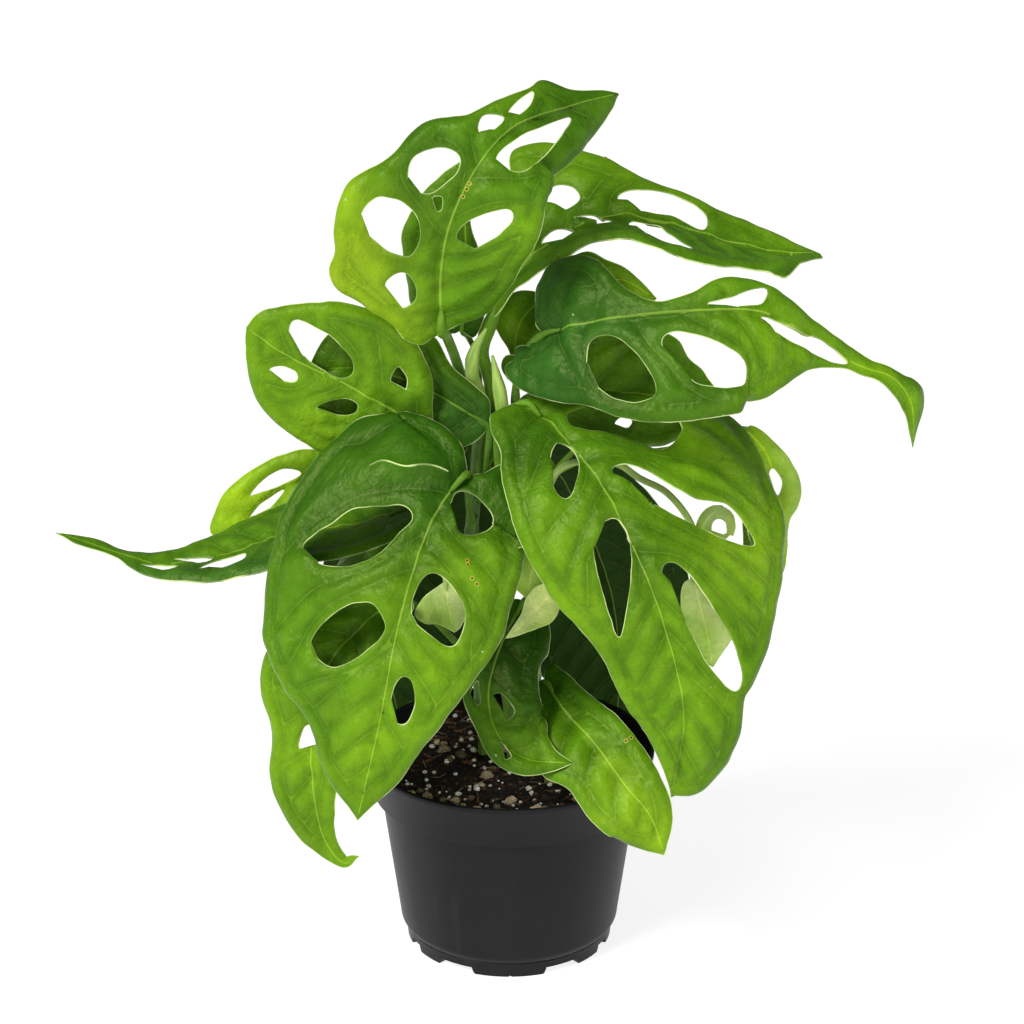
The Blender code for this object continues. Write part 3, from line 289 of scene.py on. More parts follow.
LEAVES["leaf_front_left"] = dict(
    spine=[(-20, -57, 276), (-29, -64, 269), (-40, -77, 252), (-52, -97, 217), (-62, -109, 168),
           (-73, -109, 117)],
    face=[(-0.1, -0.85, 0.6), (-0.1, -1, 0.4), (-0.15, -1, 0.1)],
    fold=[0, -5, -5],
    curl=[-15, -20, -15],
    right=[(-5, 5), (-10, 13), (-12, 24), (-10, 36), (-5, 47), (5, 54), (10, 64), (20, 70), (31, 74),
           (44, 77), (66, 77), (85, 76), (102, 73), (113, 66), (126, 55), (138, 41), (149, 31), (160, 26),
           (169, 17), (178, 6)],
    left=[(-5, -4), (-15, -8), (-20, -15), (-16, -25), (-6, -35), (8, -44), (30, -49), (56, -51), (71, -51),
          (85, -49), (98, -44), (112, -37), (128, -29), (143, -22), (158, -16), (172, -7)],
    holes=[
        [(57, 58), (50, 54), (44, 47), (37, 40), (32, 26), (28, 15), (32, 9), (41, 13), (51, 18), (58, 26),
         (62, 35), (62, 48)],
        [(100, 42), (92, 39), (85, 33), (77, 23), (76, 13), (85, 6), (94, 10), (103, 18), (109, 28),
         (106, 38)],
        [(75, -5), (66, -4), (57, -6), (53, -11), (56, -18), (62, -26), (70, -30), (82, -30), (87, -26),
         (84, -17), (79, -8)],
        [(17, -4), (8, -4), (4, -14), (6, -25), (18, -26), (27, -20), (28, -13)],
        [(118, -4), (107, -6), (107, -11), (116, -15), (127, -13), (128, -8)],
    ],
    stalk=("stem_left", 236, [(-20, -30, 256)], 1.9),
    look=("deep", "fresh", "fresh", "mid"),
    creases=[[(20, 39), (16, 34), (14, 24), (10, 17), (6, 7)]],
    patches=[(14, 45, 26, "deep"), (40, 56, 24, "deep"), (82, 52, 20, "mid"), (43, -34, 24, "fresh"),
             (118, 28, 26, "mid")],
    spots=[(42, -23), (44, -24), (50, -28), (52, -31)],
)
LEAVES["leaf_front_right"] = dict(
    spine=[(7, -35, 305), (24, -52, 297), (43, -76, 280), (59, -95, 253), (73, -107, 219), (83, -113, 175),
           (78, -110, 130)],
    face=[(0.1, -0.45, 0.9), (0.1, -1, 0.45), (0.1, -1, 0.1)],
    fold=[0, -5, -5],
    curl=[-15, -20, -15],
    right=[(-3, 6), (-4, 17), (3, 24), (12, 28), (27, 36), (39, 41), (56, 46), (75, 48), (94, 47), (111, 44),
           (140, 34), (169, 29), (187, 23), (201, 14), (218, 4)],
    left=[(-1, -8), (4, -21), (15, -36), (26, -56), (35, -80), (46, -93), (60, -93), (91, -90), (111, -87),
          (131, -73), (147, -62), (161, -51), (174, -38), (181, -31), (194, -29), (203, -27), (213, -24),
          (225, -14)],
    holes=[
        [(37, 13), (31, 5), (37, 1), (48, 4), (60, 15), (59, 20), (50, 20)],
        [(80, 7), (82, 1), (92, 0), (107, 6), (120, 13), (136, 22), (120, 23), (104, 21), (89, 17)],
        [(60, -8), (58, -14), (64, -23), (85, -38), (95, -54), (106, -58), (118, -59), (111, -45), (96, -31),
         (80, -18)],
        [(20, -10), (29, -8), (44, -24), (57, -34), (57, -44), (50, -55), (40, -57), (30, -40), (21, -26)],
        [(113, -8), (111, -15), (122, -21), (149, -29), (170, -31), (175, -25), (160, -15), (137, -10)],
    ],
    stalk=("stem_front", 258, [(-5, -25, 286)], 1.9),
    look=("mid", "fresh", "mid", "fresh"),
    patches=[(20, 17, 24, "deep"), (72, -63, 24, "fresh"), (115, -57, 26, "bright"), (104, 4, 20, "deep"),
             (157, 8, 20, "mid")],
)
LEAVES["leaf_top_left"] = dict(
    spine=[(-32, -40, 342), (-32, -50, 373), (-27, -54, 400), (-14, -50, 426), (3, -40, 442), (29, -22, 447),
           (53, -5, 449)],
    face=[(0, -1, 0.35), (0, -1, 0.35), (0, -0.9, 0.45)],
    fold=[5, 0, -10],
    curl=[(-10, -5), (-15, -10), -25],
    right=[(1, 4), (10, 22), (22, 31), (40, 37), (60, 41), (80, 40), (96, 36), (114, 34), (136, 27),
           (152, 20), (164, 12)],
    left=[(-3, -2), (-8, -9), (-5, -17), (6, -25), (16, -38), (22, -49), (29, -53), (36, -51), (46, -53),
          (60, -52), (74, -39), (92, -33), (106, -18), (129, -14), (142, -17), (155, -7), (169, -4)],
    holes=[
        [(71, -26), (80, -27), (88, -17), (88, -9), (81, -7), (70, -12), (67, -19)],
        [(52, -41), (60, -34), (59, -18), (50, -12), (40, -15), (41, -25), (46, -36)],
        [(26, -26), (32, -18), (27, -12), (19, -12), (15, -19)],
        [(52, 5), (63, 8), (77, 21), (74, 26), (60, 22), (49, 13)],
        [(97, 5), (124, 6), (146, 5), (139, 12), (123, 19), (103, 19), (96, 12)],
        [(102, -9), (108, -13), (114, -6), (106, -5)],
        [(117, -7), (132, -12), (127, -6), (120, -4)],
        [(67, -12), (69, -8), (64, -6), (62, -9)],
    ],
    stalk=("stem_left", 280, [(-23, 1, 302), (-26, -4, 316), (-30, -20, 333)], 2.6),
    look=("mid", "mid", "mid", "mid"),
    patches=[(30, -48, 26, "yellow"), (0, -30, 22, "bright"), (56, -56, 14, "bright"), (50, 28, 22, "fresh"),
             (84, -24, 18, "deep"), (150, 4, 24, "deep")],
    spots=[(80, 1), (77, 1), (73, 1)],
)
LEAVES["leaf_right_folded"] = dict(
    spine=[(15, -30, 337), (34, -42, 347), (57, -50, 353), (90, -54, 357), (118, -52, 356), (142, -48, 343),
           (165, -45, 327), (182, -43, 320), (192, -42, 306), (195, -42, 284)],
    face=[(0.1, -0.8, 0.6), (0.1, -0.8, 0.6), (0.6, -0.7, 0.5)],
    right=[(-7, 2), (-15, 2), (-19, 8), (-23, 11), (-19, 20), (-8, 28), (8, 36), (28, 42), (44, 49),
           (64, 53), (96, 51), (115, 45), (130, 40), (147, 16), (163, 5), (176, 4), (184, 5), (194, 6),
           (204, 5), (212, 3), (219, 2)],
    left=[(-3, -6), (-3, -18), (-1, -29), (8, -36), (22, -36), (33, -31), (45, -17), (57, -8), (67, -6),
          (79, -9), (94, -16), (112, -15), (142, -8), (168, -7), (180, -5), (190, -6), (196, -10),
          (202, -12), (208, -9), (216, -4), (223, -1)],
    holes=[
        [(27, 20), (30, 10), (41, 9), (52, 19), (60, 33), (58, 41), (45, 41), (32, 32)],
        [(65, 16), (70, 10), (85, 14), (104, 25), (105, 36), (89, 38), (77, 33)],
        [(87, -3), (100, -6), (113, -12), (112, -4), (100, -2)],
        [(114, 2), (129, 1), (150, -1), (163, 1), (154, 6), (137, 7), (121, 7)],
    ],
    stalk=("stem_right", 284, [(3, -9, 300), (7, -19, 322)], 1.9),
    look=("blue", "fresh", "mid", "mid"),
    patches=[(30, -16, 24, "deep"), (4, 22, 30, "blue"), (82, 34, 20, "deep"), (126, 20, 26, "fresh")],
)
LEAVES["leaf_left_raised"] = dict(
    spine=[(-37, -21, 284), (-58, -24, 297), (-81, -26, 311), (-105, -25, 323), (-127, -18, 337)],
    face=[(-0.1, -1, 0.05)],
    fold=[5, 0, 0],
    curl=[-12, -15, -15],
    right=[(3, 5), (8, 13), (15, 24), (26, 33), (38, 38), (50, 40), (61, 38), (71, 36), (82, 31), (91, 25),
           (99, 17), (105, 9)],
    left=[(3, -7), (12, -19), (27, -32), (38, -38), (50, -39), (65, -37), (78, -32), (88, -25), (95, -17),
          (102, -7)],
    holes=[
        [(87, 11), (87, 18), (74, 20), (62, 18), (53, 13), (50, 6), (54, 1), (65, 2), (76, 5)],
        [(85, -11), (81, -6), (74, -5), (72, -9), (78, -12)],
        [(57, -17), (54, -12), (46, -6), (40, -6), (39, -11), (47, -16)],
        [(32, 13), (33, 21), (26, 18), (24, 12)],
    ],
    stalk=("stem_left", 254, [(-26, -24, 269)], 1.7),
    look=("mid", "fresh", "fresh", "fresh"),
    patches=[(26, 26, 18, "fresh"), (62, 14, 16, "mid")],
)
LEAVES["leaf_left_behind"] = dict(
    spine=[(-10, -16, 285), (-29, -15, 298), (-53, -12, 309), (-77, -11, 314), (-99, -11, 312)],
    face=[(-0.1, -1, 0.2)],
    curl=[-5, -8],
    right=[(2, 5), (9, 12), (22, 14), (32, 17), (42, 25), (53, 26), (66, 24), (77, 20), (85, 16), (91, 8)],
    left=[(1, -8), (8, -20), (31, -29), (56, -33), (87, -28), (97, -14)],
    stalk=("stem_left", 246, [(-11, -14, 268)], 1.5),
    look=("blue", "mid", "mid", "mid"),
)
LEAVES["leaf_left_long"] = dict(
    spine=[(-48, -12, 242), (-79, -16, 236), (-110, -20, 233), (-143, -23, 222), (-173, -23, 216),
           (-196, -20, 221), (-225, -16, 230)],
    face=[(0, -0.15, 1), (0, -0.15, 1), (0, -0.3, 1)],
    curl=[-8],
    right=[(-4, 8), (5, 18), (28, 30), (45, 33), (60, 32), (76, 26), (95, 22), (120, 15), (138, 9), (151, 5),
           (163, 6), (175, 3)],
    left=[(-3, -9), (7, -19), (23, -27), (42, -30), (60, -31), (78, -29), (96, -24), (113, -18), (128, -12),
          (139, -8), (152, -3), (171, -3)],
    holes=[
        [(122, 4), (112, 3), (102, 0), (112, -1)],
        [(109, -9), (99, -4), (87, -6), (87, -12), (99, -13)],
        [(138, -3), (130, -1), (120, -2), (129, -5)],
        [(56, 14), (44, 20), (32, 18), (42, 13)],
    ],
    stalk=("stem_left", 205, [(-34, -12, 228)], 1.6),
    look=("mid", "mid", "blue", "mid"),
)
LEAVES["leaf_left_pale"] = dict(
    spine=[(-81, 26, 252), (-106, 24, 244), (-127, 22, 231), (-145, 20, 212)],
    face=[(-0.2, -1, 0.1)],
    right=[(2, 5), (12, 10), (20, 13), (32, 15), (46, 16), (59, 16), (72, 13), (80, 8)],
    left=[(-2, -10), (-2, -27), (3, -38), (16, -41), (42, -32), (64, -19), (74, -7)],
    holes=[
        [(52, 6), (43, 8), (32, 8), (25, 2), (34, 1), (45, 3)],
        [(60, -2), (50, -1), (37, -2), (50, -5)],
    ],
    stalk=("stem_left", 222, [(-42, 10, 246)], 1.4),
    look=("fresh", "bright", "bright", "bright"),
)
LEAVES["leaf_upper_right"] = dict(
    spine=[(-9, 5, 336), (6, 8, 359), (25, 12, 376), (49, 15, 385), (79, 15, 381), (108, 12, 372),
           (132, 8, 368), (153, 5, 367)],
    face=[(-0.3, -0.3, 1), (0, -0.2, 1), (0, -0.2, 1)],
    fold=[(30, 0), (30, 0), 10],
    curl=[0],
    right=[(2, 4), (15, 6), (30, 12), (46, 18), (65, 21), (82, 26), (97, 30), (113, 34), (131, 33),
           (149, 29), (162, 25), (170, 35), (176, 15)],
    left=[(4, -5), (16, -8), (28, -11), (38, -14), (45, -24), (50, -42), (55, -54), (66, -50), (79, -36),
          (95, -24), (115, -19), (145, -17), (165, -12), (178, -5)],
    holes=[
        [(56, -19), (62, -25), (68, -20), (68, -12), (60, -11)],
        [(84, -9), (90, -14), (105, -16), (124, -11), (126, -2), (109, -4), (94, -4)],
        [(63, -4), (74, -1), (80, 8), (70, 4)],
        [(89, 12), (92, 5), (101, 5), (112, 16), (124, 22), (110, 25), (97, 20)],
        [(43, -2), (52, -4), (60, 2), (51, 4)],
    ],
    stalk=("stem_front", 262, [(-9, 0, 300), (-13, 4, 318)], 3.2),
    look=("mid", "mid", "fresh", "mid"),
    spots=[(81, -34)],
)
LEAVES["leaf_lower_left"] = dict(
    spine=[(-53, -50, 209), (-70, -60, 200), (-88, -66, 181), (-96, -70, 155), (-97, -72, 124),
           (-93, -72, 93), (-83, -72, 76), (-74, -74, 80)],
    face=[(-0.3, -0.9, 0.6), (-0.3, -1, 0.2), (-0.2, -1, 0.3)],
    curl=[-10, -15],
    right=[(-4, 6), (8, 12), (18, 17), (36, 25), (55, 32), (72, 30), (84, 23), (97, 22), (115, 23),
           (135, 16), (150, 7), (163, 2)],
    left=[(-3, -7), (8, -14), (20, -21), (40, -28), (62, -28), (86, -22), (107, -14), (130, -9), (150, -5),
          (164, -3)],
    holes=[[(95, 6), (84, 4), (83, -2), (92, -4)]],
    stalk=("stem_left", 160, [(-38, -32, 190)], 1.6),
    look=("mid", "fresh", "fresh", "fresh"),
)
LEAVES["leaf_curled_front"] = dict(
    spine=[(8, -20, 196), (-3, -40, 182), (-10, -58, 163), (-6, -68, 145), (8, -74, 134), (32, -76, 132)],
    face=[(0, -0.8, 0.7), (0, -0.9, 0.5), (0, -0.8, 0.7)],
    curl=[-10, -10, -20],
    right=[(4, 6), (24, 8), (41, 9), (55, 13), (71, 9), (89, 10), (107, 5)],
    left=[(-2, -5), (7, -17), (21, -23), (34, -22), (49, -25), (75, -26), (101, -23), (105, -13), (110, -6)],
    holes=[
        [(56, -3), (57, -8), (67, -12), (71, -7)],
        [(56, 9), (50, 6), (59, 4), (61, 7)],
        [(80, 1), (88, 2), (86, 6)],
    ],
    stalk=("stem_front", 150, [(4, -15, 180)], 1.5),
    look=("deep", "mid", "deep", "deep"),
    patches=[(37, -10, 24, "shade"), (100, -8, 14, "fresh")],
)
LEAVES["leaf_droop_front"] = dict(
    spine=[(18, -31, 156), (28, -50, 148), (42, -70, 140), (56, -84, 125), (69, -92, 111), (76, -93, 90)],
    face=[(0, -0.8, 0.7), (0, -1, 0.4), (0, -1, 0.3)],
    fold=[5, 0, 0],
    curl=[5, -10, -15],
    right=[(-2, 4), (8, 9), (22, 23), (32, 29), (47, 29), (60, 24), (80, 24), (102, 19), (111, 9)],
    left=[(-5, -2), (-9, -7), (1, -11), (21, -15), (42, -17), (57, -18), (72, -18), (87, -15), (98, -10),
          (108, -5)],
    stalk=("stem_front", 122, [(9, -22, 142)], 1.5),
    look=("deep", "bright", "mid", "mid"),
    patches=[(40, -4, 28, "mid"), (96, 4, 18, "bright")],
    spots=[(57, -13), (57, -16), (58, -21)],
)
LEAVES["leaf_right_pale"] = dict(
    spine=[(116, -15, 284), (126, -19, 272), (133, -23, 252), (134, -25, 229), (136, -26, 212)],
    face=[(0.3, -0.9, 0.3)],
    right=[(3, 4), (19, 10), (39, 11), (57, 8), (70, 5)],
    left=[(1, -4), (14, -8), (24, -11), (35, -13), (44, -10), (51, -5), (62, -4), (73, -2)],
    holes=[[(26, 2), (24, -1), (32, -3), (38, 0), (33, 2)]],
    stalk=("stem_right", 250, [(45, -13, 271), (74, -13, 272), (99, -13, 278)], 1.5),
    look=("bright", "bright", "pale", "pale"),
)
LEAVES["leaf_right_behind"] = dict(
    spine=[(19, 12, 319), (35, 10, 341), (53, 6, 354), (72, 0, 346)],
    face=[(0, -1, 0.2)],
    right=[(4, 7), (23, 16), (45, 15), (65, 13)],
    left=[(1, -4), (7, -7), (22, -15), (34, -20), (43, -18), (48, -10), (55, -5), (66, -2)],
    stalk=("stem_right", 276, [(14, 11, 302)], 1.4),
    look=("fresh", "bright", "fresh", "bright"),
)
LEAVES["leaf_centre_dark"] = dict(
    spine=[(18, 28, 337), (9, 23, 332), (4, 19, 323), (2, 16, 307)],
    face=[(0, -0.8, 0.6), (0, -0.9, 0.4)],
    right=[(1, 6), (9, 12), (19, 15), (25, 9), (32, 3)],
    left=[(-2, -6), (3, -14), (14, -16), (25, -13), (32, -4)],
    stalk=("stem_right", 264, [(20, 26, 298), (25, 32, 322)], 1.3),
    look=("mid", "fresh", "mid", "mid"),
)
LEAVES["leaf_top_behind"] = dict(
    spine=[(-23, 2, 329), (-21, 0, 350), (-21, 0, 376), (-22, 0, 396), (-22, 2, 415)],
    face=[(0, -1, 0.3)],
    right=[(-3, 6), (7, 10), (22, 10), (39, 7), (54, 3), (69, 4), (79, 3)],
    left=[(-2, -5), (0, -14), (8, -26), (23, -29), (40, -31), (52, -31), (66, -23), (78, -12)],
    stalk=("stem_left", 268, [(-14, 9, 292), (-16, 11, 312), (-20, 8, 324)], 1.3),
    look=("deep", "mid", "mid", "deep"),
)
LEAVES["leaf_right_under"] = dict(
    spine=[(11, 0, 298), (40, -3, 298), (69, -4, 298), (94, -3, 292), (104, -3, 289)],
    face=[(0, -1, 0.1)],
    curl=[(-5, -10)],
    right=[(-5, 3), (-8, 8), (-4, 13), (4, 15), (14, 17), (29, 23), (45, 29), (70, 26), (83, 16)],
    left=[(-5, -2), (-12, -6), (-15, -12), (-13, -18), (-4, -19), (10, -25), (25, -32), (45, -35), (58, -32),
          (67, -29), (72, -22), (81, -17), (90, -9)],
    holes=[[(41, 15), (45, 12), (50, 14), (46, 18)]],
    stalk=("stem_right", 258, [(13, -1, 280)], 1.4),
    look=("mid", "mid", "mid", "mid"),
)
LEAVES["leaf_young_left"] = dict(
    spine=[(-31, -38, 213), (-30, -42, 202), (-27, -44, 188)],
    face=[(0, -0.9, 0.5), (0, -1, 0.3)],
    fold=[10],
    curl=[20],
    right=[(3, 5), (8, 13), (13, 17), (18, 13), (21, 6)],
    left=[(5, -5), (12, -8), (18, -8), (24, -4)],
    stalk=("stem_left", 180, [(-27, -14, 198), (-32, -28, 215)], 1.2),
    look=("young", "pale", "young", "pale"),
    crumple=1.8,
)
LEAVES["leaf_young_front"] = dict(
    spine=[(23, -36, 208), (11, -43, 196), (-2, -47, 186)],
    face=[(0, -0.8, 0.6)],
    fold=[15],
    curl=[20],
    right=[(-1, 4), (6, 8), (14, 8), (22, 4)],
    left=[(-1, -4), (6, -8), (14, -9), (22, -6)],
    stalk=("stem_right", 172, [(22, -10, 192), (26, -26, 206)], 1.1),
    look=("young", "young", "pale", "young"),
    crumple=1.8,
)
LEAVES["leaf_young_centre"] = dict(
    spine=[(16, -15, 230), (12, -22, 215), (9, -28, 199)],
    face=[(0, -0.9, 0.4)],
    fold=[10],
    curl=[10],
    right=[(-2, 5), (6, 11), (16, 14), (26, 12), (31, 6)],
    left=[(-2, -4), (6, -9), (16, -11), (26, -8)],
    stalk=("stem_right", 196, [(14, -8, 220)], 1.1),
    look=("fresh", "pale", "fresh", "bright"),
    crumple=1.2,
)
LEAVES["leaf_young_right"] = dict(
    spine=[(90, -52, 220), (93, -54, 207), (97, -55, 191), (100, -55, 174)],
    face=[(0, -1, 0.3)],
    fold=[10],
    curl=[25],
    right=[(1, 5), (9, 9), (18, 10), (31, 11), (41, 7)],
    left=[(3, -5), (11, -7), (20, -11), (30, -13), (40, -6)],
    stalk=("stem_right", 226, [(25, -10, 261), (50, -22, 269), (64, -34, 265), (77, -41, 260),
                               (88, -47, 247), (91, -51, 232)], 1.7),
    look=("young", "pale", "young", "pale"),
    crumple=1.8,
)
LEAVES["leaf_young_loop"] = dict(
    spine=[(93, -42, 239), (96, -43, 247), (103, -44, 255)],
    face=[(0, -1, 0.2)],
    curl=[10],
    right=[(-2, 6), (0, 12), (8, 15), (16, 13), (20, 6)],
    left=[(3, -3), (10, -4), (16, -3)],
    holes=[[(4, 5), (12, 4), (14, 8), (8, 12), (3, 10)]],
    stalk=("stem_right", 212, [(32, -7, 246), (57, -24, 248), (75, -36, 244), (86, -42, 237)], 1.1),
    look=("pale", "cream", "pale", "pale"),
    crumple=1.2,
)
LEAVES["leaf_side_left"] = dict(
    spine=[(-62, 12, 208), (-88, 17, 194), (-104, 21, 164), (-108, 22, 118)],
    face=[(-0.6, 0, 0.8), (-1, 0.1, 0.4), (-1, 0.1, 0.1)],
    curl=[-10, -15],
    right=[(-6, 5), (-4, 14), (14, 22), (36, 24), (58, 22), (80, 16), (98, 8)],
    left=[(-6, -5), (-5, -14), (12, -23), (34, -26), (56, -24), (78, -18), (98, -9)],
    holes=[
        [(30, -8), (42, -8), (46, -16), (34, -18)],
        [(52, 7), (64, 7), (66, 14), (54, 15)],
    ],
    stalk=("stem_left", 186, [(-36, 6, 202)], 1.4),
    look=("mid", "fresh", "mid", "mid"),
)
LEAVES["leaf_side_right"] = dict(
    spine=[(95, 20, 262), (117, 28, 240), (127, 32, 205), (124, 34, 150)],
    face=[(0.6, 0, 0.8), (1, 0.1, 0.4), (1, 0.1, 0.1)],
    curl=[-10, -15],
    right=[(-6, 5), (-5, 14), (12, 22), (36, 25), (62, 23), (88, 17), (111, 8)],
    left=[(-6, -5), (-4, -13), (14, -20), (38, -23), (64, -22), (90, -16), (112, -8)],
    holes=[
        [(34, 8), (46, 8), (50, 16), (38, 17)],
        [(58, -7), (70, -7), (72, -14), (60, -15)],
    ],
    stalk=("stem_right", 244, [(40, 14, 268), (70, 17, 272)], 1.4),
    look=("mid", "fresh", "mid", "mid"),
)
LEAVES["leaf_rear_left"] = dict(
    spine=[(-20, 30, 262), (-44, 55, 220), (-62, 72, 180), (-68, 80, 136), (-63, 82, 100), (-58, 82, 74)],
    face=[(0, 0.3, 0.9), (0, 0.9, 0.6), (0, 1, 0.1)],
    curl=[-15],
    right=[(-6, 7), (-2, 18), (20, 27), (45, 36), (70, 46), (95, 53), (122, 56), (148, 50), (174, 34),
           (198, 14)],
    left=[(-8, -6), (-10, -18), (2, -31), (30, -38), (60, -38), (90, -37), (120, -36), (150, -34),
          (176, -26), (197, -12)],
    holes=[
        [(86, 12), (97, 13), (99, 25), (89, 25)],
        [(108, -8), (118, -9), (120, -20), (110, -20)],
    ],
    stalk=("stem_left", 230, [(-18, 14, 252)], 1.6),
    look=("deep", "mid", "deep", "deep"),
    relief=0.4,
    below="shade",
)
LEAVES["leaf_rear_right"] = dict(
    spine=[(16, 30, 262), (36, 62, 216), (54, 86, 160), (60, 94, 110), (58, 92, 66)],
    face=[(0, 0.3, 0.9), (0, 0.9, 0.6), (0, 1, 0.1)],
    curl=[-15],
    right=[(-8, 8), (-10, 20), (2, 31), (30, 39), (60, 44), (90, 46), (120, 44), (150, 38), (175, 29),
           (200, 14)],
    left=[(-6, -7), (-2, -15), (20, -22), (48, -30), (85, -41), (125, -46), (160, -47), (184, -40),
          (206, -18)],
    holes=[
        [(88, 19), (102, 20), (107, 31), (94, 33)],
        [(60, -10), (74, -11), (78, -22), (66, -21)],
    ],
    stalk=("stem_right", 236, [(12, 18, 254)], 1.6),
    look=("deep", "mid", "deep", "deep"),
    relief=0.4,
    below="shade",
)


# Materials


class Nodes:
    """A short way to write a material's nodes."""

    def __init__(self, name, **shader):
        self.material = bpy.data.materials.new(name)
        self.material.use_nodes = True
        self.tree = self.material.node_tree
        self.finish(**shader)

    def set(self, socket, value):
        """A constant on the socket, or a link to it."""
        if isinstance(value, bpy.types.NodeSocket):
            self.tree.links.new(value, socket)
        elif socket.type == "RGBA":
            socket.default_value = (*value, 1)
        else:
            socket.default_value = value

    def make(self, kind, inputs=(), **settings):
        node = self.tree.nodes.new("ShaderNode" + kind)
        for key, value in settings.items():
            setattr(node, key, value)
        for socket, value in dict(inputs).items():
            self.set(node.inputs[socket], value)
        return node

    def value(self, name):
        return self.make("Attribute", attribute_name=name).outputs["Fac"]

    def vector(self, name):
        return self.make("Attribute", attribute_name=name).outputs["Vector"]

    def place(self):
        return self.make("TexCoord").outputs["Object"]

    def math(self, operation, a, b):
        return self.make("Math", {0: a, 1: b}, operation=operation).outputs[0]

    def times(self, a, b):
        return self.math("MULTIPLY", a, b)

    def scaled(self, a, gain, base):
        return self.math("ADD", self.times(a, gain), base)

    def rest(self, a):
        """What is left of 1."""
        return self.math("SUBTRACT", 1.0, a)

    def fall(self, value, near, far):
        """1 where the value is under near, 0 over far, smooth between."""
        inputs = {"Value": value, "From Min": near, "From Max": far, "To Min": 1.0, "To Max": 0.0}
        return self.make("MapRange", inputs, interpolation_type="SMOOTHSTEP").outputs["Result"]

    def vectors(self, operation, a, b):
        return self.make("VectorMath", {0: a, 1: b}, operation=operation).outputs[0]

    def noise(self, vector, scale, detail=3.0, output="Fac"):
        return self.make("TexNoise", {"Vector": vector, "Scale": scale, "Detail": detail}).outputs[output]

    def cells(self, vector, scale, feature="F1"):
        return self.make("TexVoronoi", {"Vector": vector, "Scale": scale}, feature=feature).outputs

    def mix(self, share, a, b, blend="MIX"):
        node = self.make("Mix", data_type="RGBA", blend_type=blend, clamp_factor=True)
        for name, kind, value in (("Factor", "VALUE", share), ("A", "RGBA", a), ("B", "RGBA", b)):
            self.set(next(s for s in node.inputs if s.name == name and s.type == kind), value)
        return next(s for s in node.outputs if s.type == "RGBA")

    def tinted(self, colour, by):
        """The colour multiplied by another."""
        return self.mix(1.0, colour, by, "MULTIPLY")

    def shade(self, share, colour, by):
        """The colour, multiplied by another where the share is 1."""
        return self.mix(share, colour, self.tinted(colour, by))

    def bump(self, height, distance, strength, normal=None):
        inputs = {"Height": height, "Distance": distance, "Strength": strength}
        if normal:
            inputs["Normal"] = normal
        return self.make("Bump", inputs).outputs["Normal"]

    def finish(self, **sockets):
        """Sets or links the shader's own sockets."""
        for key, value in sockets.items():
            self.set(self.tree.nodes["Principled BSDF"].inputs[key.replace("_", " ")], value)
        return self.material


